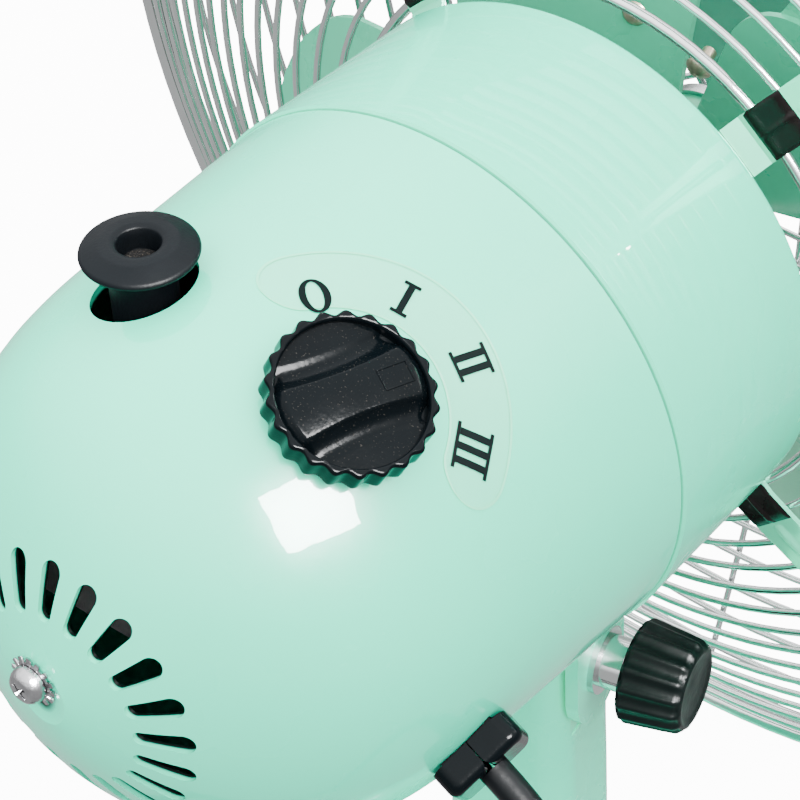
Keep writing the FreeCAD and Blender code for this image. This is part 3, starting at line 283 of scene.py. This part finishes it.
def material(name, colour, rough, metallic=0.0, coat=0.0, mottle=0.06, mottle_scale=60.0,
             bump=0.02, bump_scale=900.0, dust=0.0, dust_scale=1600.0, dust_colour=(0.45, 0.42, 0.38),
             stretch=None, specular=0.5):
    """A finish with mottled colour, uneven gloss, a fine surface and settled dust."""
    made = bpy.data.materials.new(name)
    made.use_nodes = True
    tree = made.node_tree
    shader = tree.nodes["Principled BSDF"]
    shader.inputs["Metallic"].default_value = metallic
    shader.inputs["Coat Weight"].default_value = coat
    shader.inputs["Coat Roughness"].default_value = 0.02
    shader.inputs["Specular IOR Level"].default_value = specular
    darker = tuple(c * (1 - mottle) for c in colour)
    lighter = tuple(min(1.0, c * (1 + mottle)) for c in colour)
    tone = blend_colours(tree, spread(tree, noise(tree, mottle_scale, 3.0, stretch), 0, 1), darker, lighter)
    gloss = spread(tree, noise(tree, mottle_scale * 1.7, 4.0, stretch), rough * 0.8, rough * 1.25)
    if dust > 0:
        specks = spread(tree, noise(tree, dust_scale, 3.0), 0.0, 1.0, 0.66 - 0.12 * dust, 0.72)
        tone = blend_colours(tree, specks, tone, dust_colour)
    link(tree, tone, shader.inputs["Base Color"])
    link(tree, gloss, shader.inputs["Roughness"])
    height = tree.nodes.new("ShaderNodeBump")
    height.inputs["Strength"].default_value = bump
    height.inputs["Distance"].default_value = 0.001
    link(tree, noise(tree, bump_scale, 2.0, stretch), height.inputs["Height"])
    link(tree, height.outputs["Normal"], shader.inputs["Normal"])
    return made


def maths(tree, operation, first, second):
    """A math node; either side is a socket or a number."""
    node = tree.nodes.new("ShaderNodeMath")
    node.operation = operation
    for socket, value in zip(node.inputs, (first, second)):
        if isinstance(value, float):
            socket.default_value = value
        else:
            link(tree, value, socket)
    return node.outputs[0]


def painted_shade_inside(paint):
    """The paint with near-black painted shade, and less coat, wherever the shell's surface lies below its
    outside.
    """
    made = paint.copy()
    made.name = "mint_enamel_dark_inside"
    tree = made.node_tree
    shader = tree.nodes["Principled BSDF"]
    coordinate = tree.nodes.new("ShaderNodeTexCoord")
    split = tree.nodes.new("ShaderNodeSeparateXYZ")
    link(tree, coordinate.outputs["Object"], split.inputs[0])
    up = maths(tree, "SUBTRACT", split.outputs["Z"], mm(HUB_Z))
    radius = maths(tree, "SQRT", maths(tree, "ADD", maths(tree, "POWER", split.outputs["X"], 2.0),
                                       maths(tree, "POWER", up, 2.0)), 0.0)
    back = maths(tree, "SUBTRACT", split.outputs["Y"], mm(SEAM_Y))
    outside = maths(tree, "SUBTRACT", mm(SHELL_R), maths(tree, "MULTIPLY", back, SHELL_TAPER))
    round_part = maths(tree, "POWER", maths(tree, "DIVIDE", radius, outside), 1.5)
    along = maths(tree, "DIVIDE", maths(tree, "SUBTRACT", back, mm(SHELL_STRAIGHT)),
                  mm(SHELL_LENGTH - SHELL_STRAIGHT))
    dome_part = maths(tree, "POWER", maths(tree, "MAXIMUM", along, 0.0), DOME_POWER)
    level = maths(tree, "ADD", round_part, dome_part)
    skin = spread(tree, level, 0.0, 1.0, 0.955, 0.97)
    old = shader.inputs["Base Color"].links[0].from_socket
    # painted shade: near-black where skin falls to 0, on the walls of vents and holes
    link(tree, blend_colours(tree, skin, (0.002, 0.006, 0.005), old), shader.inputs["Base Color"])
    link(tree, maths(tree, "MULTIPLY", skin, 0.6), shader.inputs["Coat Weight"])
    return made


PAINT = material("mint_enamel", (0.03, 0.84, 0.52), 0.25, coat=0.6, mottle=0.015, mottle_scale=25.0,
                 specular=0.2, bump=0.012, bump_scale=260.0)
# the shell's paint, with painted shade in its vents and holes
SHELL_PAINT = painted_shade_inside(PAINT)
BLADE_PAINT = material("blade_enamel", (0.03, 0.42, 0.24), 0.3, coat=0.25, mottle=0.03, bump=0.02)
CHROME = material("chrome", (0.52, 0.54, 0.54), 0.14, metallic=1.0, mottle=0.03, mottle_scale=150.0,
                  bump=0.02, bump_scale=700.0)
STEEL = material("plain_steel", (0.55, 0.54, 0.52), 0.3, metallic=1.0, mottle=0.12, mottle_scale=300.0,
                 bump=0.06)
ZINC = material("zinc_plate", (0.30, 0.30, 0.31), 0.2, metallic=1.0, mottle=0.15, mottle_scale=500.0,
                bump=0.10, bump_scale=1500.0)
CAST = material("cast_zinc", (0.45, 0.45, 0.46), 0.45, metallic=0.8, mottle=0.1, bump=0.2, bump_scale=1200.0)
RIVET = material("rivet_steel", (0.34, 0.29, 0.22), 0.35, metallic=1.0, mottle=0.2, mottle_scale=700.0,
                 bump=0.1)
BLACK = material("black_gloss_plastic", (0.0015, 0.003, 0.004), 0.16, mottle=0.15, bump=0.03, specular=0.06)
DUSTY = material("dusty_black_plastic", (0.0015, 0.003, 0.004), 0.2, mottle=0.15, bump=0.05,
                 dust=0.1, dust_scale=2600.0, dust_colour=(0.03, 0.028, 0.025), specular=0.05)
DUST = material("settled_dust", (0.003, 0.003, 0.003), 0.7, mottle=0.3, bump=0.6, bump_scale=2200.0,
                dust=0.9, dust_scale=2400.0, dust_colour=(0.06, 0.05, 0.04), specular=0.1)
SATIN = material("satin_black_plastic", (0.003, 0.0045, 0.006), 0.4, mottle=0.12, bump=0.05,
                 bump_scale=1800.0, specular=0.06)
DARK_GREEN = material("dark_green_plastic", (0.0015, 0.0055, 0.005), 0.35, mottle=0.12, bump=0.05,
                      specular=0.1)
CORD = material("cord_pvc", (0.002, 0.003, 0.004), 0.3, mottle=0.1, bump=0.06, bump_scale=500.0,
                specular=0.12)
RUBBER = material("rubber", (0.03, 0.03, 0.03), 0.7, mottle=0.1, bump=0.2, bump_scale=1200.0)
IRON = material("cast_iron", (0.18, 0.18, 0.18), 0.6, metallic=0.7, mottle=0.1, bump=0.3)
NYLON = material("nylon", (0.80, 0.78, 0.70), 0.4, mottle=0.03, bump=0.04)
BRASS = material("brass", (0.70, 0.52, 0.22), 0.3, metallic=1.0, mottle=0.1, bump=0.05)
COPPER = material("enamelled_copper", (0.62, 0.26, 0.10), 0.3, metallic=0.9, mottle=0.15,
                  mottle_scale=900.0, bump=0.5, bump_scale=1400.0, stretch=(1.0, 0.12, 1.0))
INK = material("dial_ink", (0.003, 0.007, 0.007), 0.5, mottle=0.1, bump=0.02, specular=0.02)
# lighter mint: a painted highlight along the film's cut edge
FILM_EDGE_HIGHLIGHT = material("film_edge_highlight", (0.12, 0.80, 0.48), 0.4, mottle=0.05, bump=0.02)
# near-black: a painted reflection of dark surroundings in the chrome struts, nearest the housing
DARK_REFLECTION = material("chrome_painted_dark_reflection", (0.004, 0.0025, 0.0025), 0.25, mottle=0.2, bump=0.08, specular=0.15)
# dark green: painted shade in the gap of the seam
SEAM = material("seam_painted_shade", (0.01, 0.07, 0.045), 0.6, mottle=0.1, bump=0.05)
# mint with some metal: a painted reflection of the mint housing and blades in the chrome struts
MINT_REFLECTION = material("chrome_painted_mint_reflection", (0.10, 0.80, 0.50), 0.16, metallic=0.2, coat=0.4, mottle=0.03, bump=0.02)

SLOT_FINISH = {
    "mint_paint": PAINT,
    "blade_paint": BLADE_PAINT,
    "steel": STEEL,
    "chrome": CHROME,
    "black_plastic": BLACK,
    "black_matte": SATIN,
    "rubber": RUBBER,
    "iron": IRON,
    "zinc": CAST,
    "brass": BRASS,
    "nylon": NYLON,
    "copper": COPPER,
    "clear_label": INK,
    "cord_pvc": CORD,
}
NODE_FINISH = {
    "blade_rivets": RIVET,
    "rear_screw": ZINC,
    "rear_lock_washer": ZINC,
    "tilt_knob": DARK_GREEN,
    "rear_shell": SHELL_PAINT,
    # chrome struts, coloured with the painted mint reflection
    "rear_grille_struts": MINT_REFLECTION,
}


def finish_cad_nodes():
    """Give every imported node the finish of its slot, or its own."""
    for entry in frame["record"]["subparts"]:
        name = entry["node"]
        data = nodes[name].data
        data.materials.clear()
        data.materials.append(NODE_FINISH.get(name, SLOT_FINISH[entry["material_slot"]]))


finish_cad_nodes()

# ---------------------------------------------------------------- mains cord
COIL_CENTRE = (7.5, 160.7)
COIL_OUTER_R = 40.6
COIL_PITCH = 6.45         # the turns lie side by side
COIL_START = 133.2        # where the cord joins the coil, in degrees from +X
COIL_TURNS = 5.287
COIL_LOW_TURNS = 2.6      # turns on the table, spiralling in; the rest lie on top
COIL_STEPS = 16           # points to a turn
JOIN = mm(-110.0, 105.0, 118.0)
LAND = mm(-102.0, 124.0, 34.0)
HANG = [RELIEF_POINT + RELIEF_NORMAL * mm(RELIEF_PROUD),
        RELIEF_POINT + RELIEF_NORMAL * mm(RELIEF_PROUD + 32.0),
        mm(-107.0, 84.0, 222.0), mm(-112.0, 98.0, 166.0), JOIN]
TO_COIL = [JOIN, mm(-108.1, 111.65, 72.4), LAND, mm(-84.0, 142.0, 9.0), mm(-54.0, 158.0, CORD_R),
           mm(-20.0, 190.0, CORD_R)]
PLUG_ANGLE = 30.0
PLUG_AHEAD = 24.5
PLUG_Z = 8.5


def coil_point(turn):
    """Where the cord is after so many turns, clockwise from above."""
    a = radians(COIL_START - 360.0 * turn)
    low_end_r = COIL_OUTER_R - COIL_PITCH * COIL_LOW_TURNS
    rise = min(1.0, max(0.0, (turn - COIL_LOW_TURNS) / 0.4 + 0.5))
    height = CORD_R + (2 * CORD_R + 0.2) * rise * rise * (3 - 2 * rise)
    if turn < COIL_LOW_TURNS:
        radius = COIL_OUTER_R - COIL_PITCH * turn
    else:
        done = (turn - COIL_LOW_TURNS) / (COIL_TURNS - COIL_LOW_TURNS)
        radius = low_end_r + (COIL_OUTER_R - low_end_r) * done
    return mm(COIL_CENTRE[0] + radius * cos(a), COIL_CENTRE[1] + radius * sin(a), height)


def spline_path(name, points, fineness):
    """Points read along the smooth NURBS curve of a route."""
    data = bpy.data.curves.new(name, "CURVE")
    data.dimensions = "3D"
    data.resolution_u = fineness
    spline = data.splines.new("NURBS")
    spline.points.add(len(points) - 1)
    for point, place in zip(spline.points, points):
        point.co = (*place, 1.0)
    spline.order_u = 3
    spline.use_endpoint_u = True
    guide = bpy.data.objects.new(name, data)
    bpy.context.scene.collection.objects.link(guide)
    bpy.context.view_layer.update()
    mesh = bpy.data.meshes.new_from_object(guide)
    path = [vertex.co.copy() for vertex in mesh.vertices]
    bpy.data.objects.remove(guide)
    bpy.data.meshes.remove(mesh)
    return path


def make_cords():
    """The hanging cord, and the lead that runs down into the coil and ends at the plug."""
    upper = spline_path("cord_route_upper", HANG, 24)
    hanging = tube("cord_hanging", upper, mm(CORD_R), 32, CORD)
    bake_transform(hanging)
    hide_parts("cord_upper")

    steps = int(COIL_TURNS * COIL_STEPS)
    coil = [coil_point(COIL_TURNS * (i + 1) / steps) for i in range(steps)]
    a = radians(PLUG_ANGLE)
    tail = coil[-1] + mm(PLUG_AHEAD * sin(a), -PLUG_AHEAD * cos(a), 0)
    tail.z = mm(PLUG_Z)
    lower = spline_path("cord_route_lower", TO_COIL + coil + [tail], 8)
    lead = tube("cord_coiled", lower, mm(CORD_R), 20, CORD)
    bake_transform(lead)
    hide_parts("cord_lower", "cord_coil")


make_cords()


def fit_piece(piece, body, slot, *replaced):
    """Hang a piece on its body and say which nodes it stands for, which are hidden. The slot argument is not
    used.
    """
    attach(piece, body)
    if replaced:
        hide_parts(*replaced)


# ---------------------------------------------------------------- oscillation knob
OSC_FOOT_Z = 327.4        # lower end of the stem
OSC_UP = 6.4              # underside of the cap above the shell


def make_osc_knob():
    """Mushroom cap with a flat ring round a dusty recess, on a thick stem."""
    low = HUB_Z + sqrt(shell_radius(OSC_T) ** 2 - OSC_X ** 2) + OSC_UP
    origin = mm(OSC_X, SEAM_Y + OSC_T, 0)
    outer = [(0, OSC_FOOT_Z), (6.2, OSC_FOOT_Z), (6.2, low - 1.6), (6.6, low - 0.6), (9.4, low - 0.1),
             (10.5, low + 0.1), (10.95, low + 0.8), (10.6, low + 1.5), (7.2, low + 2.9), (5.2, low + 3.05),
             (4.1, low + 2.7), (3.9, low + 1.5), (3.8, low - 1.6), (3.5, low - 2.0), (0, low - 2.0)]
    cap = turned("osc_cap", rounded(outer, 0.35), origin, Z, SATIN)
    fit_piece(cap, "osc_button", "black_matte", "osc_knob")
    dust = [(0, low - 2.1), (3.4, low - 2.1), (3.7, low - 1.6), (3.1, low - 1.2), (0, low - 1.3)]
    recess = turned("osc_recess_dust", rounded(dust, 0.3), origin, Z, DUST)
    fit_piece(recess, "osc_button", "black_matte")


# ---------------------------------------------------------------- speed knob and its dial
FLUTES = 22
KNOB_LOW = 1.0
KNOB_HIGH = 6.4
KNOB_R = 15.4
FACE_R = 13.5
POINTER_ANGLE = -18.0
OUTLINE_NEAR = 5.2        # outline at the pointing end, along the grip
OUTLINE_FAR = 11.0
OUTLINE_HALF = 1.9
MARK_PLACES = ((22.1, 55.5), (25.3, 17.0), (26.5, -18.6), (24.4, -54.3))     # distance and angle of 0 to III
LABEL_R = 25.7            # middle of the film's band
LABEL_HALF = 6.3
LABEL_END = 61.0          # where the round ends begin, in degrees either way
LABEL_CAP = 14.0
DIAL_REACH = 12.0         # height above the knob's seat from which rays drop to the shell


def dial_axes():
    """Forward, across and outward at the speed knob."""
    forward = (-Y - KNOB_NORMAL * (-Y).dot(KNOB_NORMAL)).normalized()
    return forward, KNOB_NORMAL.cross(forward), KNOB_NORMAL


def scallop(a):
    """Share of a flute's depth at an angle round the speed knob."""
    return 0.5 - 0.5 * cos(FLUTES * a)


def knob_face_height(x, y):
    """Height of the knob's face: a grip along x between two scooped hollows."""
    edge = 3.9 + 1.3 * (x / FACE_R) ** 2
    fall = min(1.0, max(0.0, (abs(y) - edge) / 4.6))
    hollow = sin(fall * pi / 2) ** 0.8 * (1 - 0.25 * fall)
    top = KNOB_HIGH + 0.9 * (1 - (x / FACE_R) ** 2) - 0.25 * (y / 3.9) ** 2 * (1 - fall)
    end = min(1.0, max(0.0, (hypot(x, y) - FACE_R + 1.4) / 1.4))
    return top - 3.1 * hollow - 1.1 * end * (1 - fall)


def make_speed_knob():
    """Fluted body, its face with the grip, and the fine outline at the grip's pointing end."""
    forward, across, outward = dial_axes()
    side = [(2.9, -7.0), (2.9, KNOB_LOW - 0.2), (KNOB_R - 1.7, KNOB_LOW - 0.1, 0.2),
            (KNOB_R - 0.2, KNOB_LOW, 0.9), (KNOB_R, KNOB_LOW + 0.5, 0.95), (KNOB_R, KNOB_HIGH - 0.5, 0.95),
            (KNOB_R - 0.5, KNOB_HIGH, 0.85), (FACE_R + 0.35, KNOB_HIGH - 0.05, 0.0),
            (FACE_R, KNOB_HIGH - 0.5), (FACE_R - 0.05, KNOB_HIGH - 2.4)]
    body = turned("speed_knob_body", rounded(side, 0.35), KNOB_POINT, outward, BLACK, FLUTES * 14, scallop,
                  toward=forward)
    fit_piece(body, "speed_dial", "black_plastic", "speed_knob")
    turn = radians(POINTER_ANGLE)
    rings = 40
    segments = 160
    points = []
    for i in range(rings + 1):
        for j in range(segments):
            a = 2 * pi * j / segments
            r = FACE_R * i / rings
            x = r * cos(a - turn)
            y = r * sin(a - turn)
            place = forward * mm(r) * cos(a) + across * mm(r) * sin(a)
            points.append(KNOB_POINT + place + outward * mm(knob_face_height(x, y)))
    face = add_mesh("speed_knob_face", points, grid_faces(rings + 1, segments), DUSTY, 50.0)
    fit_piece(face, "speed_dial", "black_plastic")
    corners = [(OUTLINE_NEAR, -OUTLINE_HALF), (OUTLINE_FAR, -OUTLINE_HALF), (OUTLINE_FAR, OUTLINE_HALF),
               (OUTLINE_NEAR, OUTLINE_HALF)]
    steps = 10
    path = []
    for (x0, y0), (x1, y1) in zip(corners, corners[1:] + corners[:1]):
        for k in range(steps):
            x = x0 + (x1 - x0) * k / steps
            y = y0 + (y1 - y0) * k / steps
            place = forward * mm(x * cos(turn) - y * sin(turn)) + across * mm(x * sin(turn) + y * cos(turn))
            path.append(KNOB_POINT + place + outward * mm(knob_face_height(x, y) + 0.02))
    outline = tube("speed_knob_pointer", path, mm(0.16), 8, BLACK, closed=True)
    fit_piece(outline, "speed_dial", "black_plastic")


def on_dial(surface, radius, angle, lift):
    """A point over the shell at a polar place about the knob, in mm and degrees."""
    forward, across, outward = dial_axes()
    a = radians(angle)
    start = KNOB_POINT + (forward * cos(a) + across * sin(a)) * mm(radius) + outward * mm(DIAL_REACH)
    hit, normal, index, distance = surface.ray_cast(start, -outward, mm(60.0))
    if hit is None:       # a ray through a crack in the mesh; the seat's own plane stands in
        hit, normal = start - outward * mm(DIAL_REACH), outward
    return hit + normal * mm(lift)


def film_half(angle):
    """Half width of the film at an angle; its ends are round."""
    past = min(1.0, max(0.0, (abs(angle) - LABEL_END) / LABEL_CAP))
    return LABEL_HALF * sqrt(max(0.0004, 1 - past * past))


def make_film_edge(surface):
    """The film's cut edge as a thin lighter line: a painted highlight where the edge catches the light."""
    loop = []
    steps = 150
    reach = LABEL_END + LABEL_CAP
    for side in (1, -1):
        for i in range(steps):
            angle = reach * cos(pi * i / steps) * side
            half = film_half(angle)
            loop.append((angle, LABEL_R + half * side, LABEL_R + max(0.02, half - 0.45) * side))
    points = []
    for angle, outer, inner in loop:
        points.append(on_dial(surface, outer, angle, 0.16))
        points.append(on_dial(surface, inner, angle * 0.994, 0.16))
    count = len(loop)
    faces = [(2 * i, 2 * i + 1, (2 * i + 3) % (2 * count), (2 * i + 2) % (2 * count)) for i in range(count)]
    edge = add_mesh("dial_film_edge", points, faces, FILM_EDGE_HIGHLIGHT)
    fit_piece(edge, "head", "clear_label")


def make_label(surface):
    """Clear round-ended film lying on the shell."""
    across_steps = 12
    along_steps = 120
    reach = LABEL_END + LABEL_CAP
    points = []
    for i in range(along_steps + 1):
        angle = -reach + 2 * reach * i / along_steps
        half = film_half(angle)
        for j in range(across_steps + 1):
            s = -1 + 2 * j / across_steps
            points.append(on_dial(surface, LABEL_R + half * s, angle, 0.12))
    faces = []
    width = across_steps + 1
    for i in range(along_steps):
        for j in range(across_steps):
            a = i * width + j
            faces.append((a, a + 1, a + width + 1, a + width))
    film = bpy.data.materials.new("clear_film")
    film.use_nodes = True
    shader = film.node_tree.nodes["Principled BSDF"]
    shader.inputs["Base Color"].default_value = (0.62, 0.78, 0.66, 1.0)
    shader.inputs["Alpha"].default_value = 0.14
    tree = film.node_tree
    link(tree, spread(tree, noise(tree, 200.0), 0.2, 0.34), shader.inputs["Roughness"])
    label = add_mesh("dial_film", points, faces, film)
    fit_piece(label, "head", "clear_label", "dial_label")


def on_mark(surface, place, x, y):
    """A point of a mark on the shell: x across it and y outward from its middle, in mm."""
    radius, angle = place
    shift = -x / (radius + y) * 180 / pi
    return on_dial(surface, hypot(radius + y, x), angle + shift, 0.22)


def bar(surface, place, x_low, x_high, y_low, y_high, points, faces):
    """A small flat rectangle of ink at a mark, x across it and y outward, in mm."""
    columns = 3
    rows = max(2, int((y_high - y_low) / 0.8))
    first = len(points)
    for i in range(rows + 1):
        for j in range(columns + 1):
            x = x_low + (x_high - x_low) * j / columns
            y = y_low + (y_high - y_low) * i / rows
            points.append(on_mark(surface, place, x, y))
    width = columns + 1
    for i in range(rows):
        for j in range(columns):
            a = first + i * width + j
            faces.append((a, a + 1, a + width + 1, a + width))


def make_marks(surface):
    """The numerals 0, I, II and III, with serifs, lying on the film."""
    half = 3.65
    serif = 0.7
    pitch = 2.5
    for count, place in enumerate(MARK_PLACES):
        points = []
        faces = []
        if count == 0:
            steps = 48
            for j in range(steps):
                a = 2 * pi * j / steps
                for rx, ry in ((2.75, 3.7), (1.45, 3.1)):
                    points.append(on_mark(surface, place, rx * cos(a), ry * sin(a)))
            faces = [(2 * j, 2 * j + 1, (2 * j + 3) % (2 * steps), (2 * j + 2) % (2 * steps))
                     for j in range(steps)]
        for k in range(count):
            x = (k - (count - 1) / 2) * pitch
            bar(surface, place, x - 0.65, x + 0.65, -half + serif, half - serif, points, faces)
        if count:
            reach = (count - 1) * pitch / 2 + 1.6
            bar(surface, place, -reach, reach, half - serif, half, points, faces)
            bar(surface, place, -reach, reach, -half, -half + serif, points, faces)
        mark = add_mesh("dial_mark_%d" % count, points, faces, INK)
        fit_piece(mark, "head", "clear_label")


# ---------------------------------------------------------------- tilt knob
TILT_FLUTES = 16
KNOB_INNER = 28.5


def on_fork(x, y, z):
    """A place in mm about the neck's own middle planes."""
    c = cos(radians(FORK_TURN))
    s = sin(radians(FORK_TURN))
    return mm(c * x - s * y, TILT_Y + s * x + c * y, z)


def make_tilt_knob():
    """Tapered knob with broad flutes, a chamfer and a slightly hollow face."""
    outer = [(4.2, -2.6), (10.9, -2.7), (12.1, -1.8, 0.75), (11.1, 7.6, 0.75), (10.7, 10.6, 0.7),
             (9.5, 11.9, 0.25), (8.6, 12.1), (7.2, 11.6), (4.0, 11.4), (0.0, 11.4)]

    def groove(a):
        phase = (a * TILT_FLUTES / (2 * pi)) % 1.0
        return max(0.0, 1 - (abs(phase - 0.5) / 0.4) ** 2)

    away = on_fork(-1000, 0, TILT_Z) - on_fork(0, 0, TILT_Z)
    knob = turned("tilt_knob_grip", rounded(outer, 0.6), on_fork(-KNOB_INNER, 0, TILT_Z), away, DARK_GREEN,
                  TILT_FLUTES * 16, groove)
    fit_piece(knob, "tilt_screw", "black_plastic", "tilt_knob")


# ---------------------------------------------------------------- rear washer and seam
SCREW_UP = 5.8
SCREW_SIDE = 1.6
DIMPLE_DEPTH = 0.7
WASHER_TEETH = 14


def make_lock_washer():
    """Toothed washer under the rear screw, and the screw's domed head with its cross recess."""
    x = (1 - (SCREW_UP / (SHELL_R - SHELL_TAPER * SHELL_LENGTH)) ** 1.5) ** (1 / DOME_POWER)
    seat = SEAM_Y + SHELL_STRAIGHT + x * (SHELL_LENGTH - SHELL_STRAIGHT) - DIMPLE_DEPTH

    def tooth(a):
        phase = (a * WASHER_TEETH / (2 * pi)) % 1.0
        if phase < 0.42:
            return 1.0
        if phase < 0.5:
            return max(0.0, 1 - (phase - 0.42) / 0.06)
        return max(0.0, (phase - 0.94) / 0.06)

    profile = [(1.78, 0.1), (3.2, 0.05), (4.0, 0.1, 0.3), (5.1, 0.35, 1.1), (5.2, 0.7, 1.1), (4.0, 0.95, 0.3),
               (3.2, 1.0), (1.78, 1.0)]
    foot = mm(SCREW_SIDE, seat + 0.3, HUB_Z + SCREW_UP)
    washer = turned("rear_washer_toothed", profile, foot, Y, ZINC, WASHER_TEETH * 24, tooth)
    fit_piece(washer, "head", "steel", "rear_lock_washer")

    def cross(a):
        arm = abs((a * 2 / pi) % 1.0 - 0.5) < 0.16
        return 0.0 if arm else 1.0

    head = [(0.0, 2.2), (0.9, 2.4, 0.4), (1.7, 4.1, 1.0), (1.9, 4.15, 1.0), (2.2, 4.1), (2.9, 3.7),
            (3.5, 2.8), (3.75, 1.8), (3.6, 1.1), (0.0, 1.05)]
    screw = turned("rear_screw_head", head, foot, Y, ZINC, 240, cross)
    fit_piece(screw, "head", "steel")


def make_seam():
    """Dark ring in the groove between the rear shell and the front band: painted shade in the gap."""
    profile = [(57.95, -0.42), (59.3, -0.40), (59.42, -0.25), (59.3, -0.1), (57.95, -0.08)]
    ring = turned("seam_ring", profile, mm(0, SEAM_Y, HUB_Z), Y, SEAM, 256)
    # the ring is painted shade in the gap, filed under the rubber slot
    fit_piece(ring, "head", "rubber")


# ---------------------------------------------------------------- grille struts
STRUT_ANGLES = (42.0, -42.0, 138.0, -138.0)
STRUT_HALF = 5.5


def strut_strip(name, strut_tree, angle, r_low, r_high, height, finish):
    """A skin over a strut's rear face; height(x, s) in mm, x across it and s from 0 to 1 along it."""
    a = radians(angle)
    side = Vector((cos(a), 0, sin(a)))
    columns = 28
    rows = max(8, int((r_high - r_low) / 1.2))
    points = []
    for i in range(rows + 1):
        radius = r_low + (r_high - r_low) * i / rows
        for j in range(columns + 1):
            x = STRUT_HALF * (-1 + 2 * j / columns)
            start = around(angle, radius, 30.0) + side * mm(x * 0.96)
            hit, normal, index, distance = strut_tree.ray_cast(start, -Y, mm(200.0))
            if hit is None:       # a ray past the strut's edge; the grille's own plane stands in
                hit = around(angle, radius, -60.0)
            points.append(hit + Y * mm(height(x, i / rows)) + side * mm(x * 0.05))
    width = columns + 1
    faces = []
    for i in range(rows):
        for j in range(columns):
            k = i * width + j
            faces.append((k, k + 1, k + width + 1, k + width))
    piece = add_mesh(name, points, faces, finish, 50.0)
    fit_piece(piece, "head", "chrome")


def rim_fall(x, s, ends=0.04):
    """1 on a skin's middle, falling to 0 round its borders."""
    across = min(1.0, (STRUT_HALF - abs(x)) / 0.6)
    along = min(1.0, s / ends, (1 - s) / ends)
    return max(0.0, min(across, along)) ** 0.5


def rib_height(x, s):
    """A plate with one soft rib along its middle."""
    rib = max(0.0, 1 - (x / 1.5) ** 2)
    return -0.05 + rim_fall(x, s) * (0.22 + 0.75 * rib * rib)


def dark_reflection_height(x, s):
    """A thicker skin with a fine rib along its middle; it carries the painted dark reflection."""
    rib = max(0.0, 1 - (x / 0.6) ** 2)
    return -0.05 + rim_fall(x, s, 0.06) * (0.55 + 0.45 * rib)


def make_struts():
    """On each strut a skin with a painted mint reflection, and nearer the housing a thicker skin with a
    painted dark reflection.
    """
    strut_tree = BVHTree.FromObject(nodes["rear_grille_struts"], bpy.context.evaluated_depsgraph_get())
    for count, angle in enumerate(STRUT_ANGLES):
        strut_strip("strut_rib_%d" % count, strut_tree, angle, 71.5, 160.0, rib_height, MINT_REFLECTION)
        strut_strip("strut_dark_reflection_%d" % count, strut_tree, angle, 60.6, 71.0, dark_reflection_height, DARK_REFLECTION)


# ---------------------------------------------------------------- floor and light
FLOOR_HALF = 12.0
FLOOR_GLOW = 9.0
SKY_LOW = 0.8
SKY_HIGH = 5.4
FILL_AT = (-0.890, 0.330, 1.230)
WINDOW_AT = (-0.857, 0.318, 1.175)
WINDOW_AIM = (-0.035, 0.078, 0.34)
TUBE_AT = (-0.868, -1.062, 1.153)
TUBE_AIM = (-0.04, -0.03, 0.3455)
TUBE_SHIFT = 0.0095       # half the step between the two tubes


def area_light(name, place, aim, width, height, power, glint_only=False):
    """A soft box that lights matt surfaces, or with glint_only one that shows only in reflections."""
    data = bpy.data.lights.new(name, "AREA")
    data.shape = "RECTANGLE"
    data.size = width
    data.size_y = height
    data.energy = power
    light = bpy.data.objects.new(name, data)
    bpy.context.scene.collection.objects.link(light)
    light.location = place
    light.visible_diffuse = not glint_only
    light.visible_glossy = glint_only
    light.rotation_euler = (Vector(aim) - Vector(place)).to_track_quat("-Z", "Y").to_euler()
    return light


def make_studio():
    """A pale floor, a sky that is bright overhead and dimmer at the horizon, and soft boxes.

    The glowing floor shows to the camera only, so that it neither lights the fan nor shows
    in its reflections.
    """
    size = FLOOR_HALF
    corners = [(-size, -size, 0), (size, -size, 0), (size, size, 0), (-size, size, 0)]
    pale = material("pale_floor", (0.90, 0.90, 0.89), 0.6, mottle=0.01, mottle_scale=3.0, bump=0.0)
    shader = pale.node_tree.nodes["Principled BSDF"]
    shader.inputs["Emission Color"].default_value = (1.0, 1.0, 1.0, 1.0)
    shader.inputs["Emission Strength"].default_value = FLOOR_GLOW
    floor = add_mesh("floor", [Vector(c) - Z * 0.0002 for c in corners], [(0, 1, 2, 3)], pale)
    floor.visible_diffuse = False
    floor.visible_glossy = False
    world = bpy.data.worlds.new("studio")
    bpy.context.scene.world = world
    world.use_nodes = True
    tree = world.node_tree
    background = tree.nodes["Background"]
    direction = tree.nodes.new("ShaderNodeTexCoord")
    split = tree.nodes.new("ShaderNodeSeparateXYZ")
    link(tree, direction.outputs["Generated"], split.inputs[0])
    link(tree, spread(tree, split.outputs["Z"], SKY_LOW, SKY_HIGH, 0.05, 0.75), background.inputs["Strength"])
    background.inputs["Color"].default_value = (1.0, 1.0, 1.0, 1.0)
    area_light("side_fill", FILL_AT, WINDOW_AIM, 0.62, 0.50, 9.0)
    area_light("side_window", WINDOW_AT, WINDOW_AIM, 0.72, 0.52, 260.0, True)
    for shift in (-TUBE_SHIFT, TUBE_SHIFT):
        place = (TUBE_AT[0] + shift, TUBE_AT[1] - shift * 1.4, TUBE_AT[2])
        area_light("front_tube", place, TUBE_AIM, 0.017, 0.34, 4.5, True)


surface = BVHTree.FromObject(nodes["rear_shell"], bpy.context.evaluated_depsgraph_get())
make_osc_knob()
make_speed_knob()
make_label(surface)
make_film_edge(surface)
make_marks(surface)
make_tilt_knob()
make_lock_washer()
make_seam()
make_struts()
make_studio()
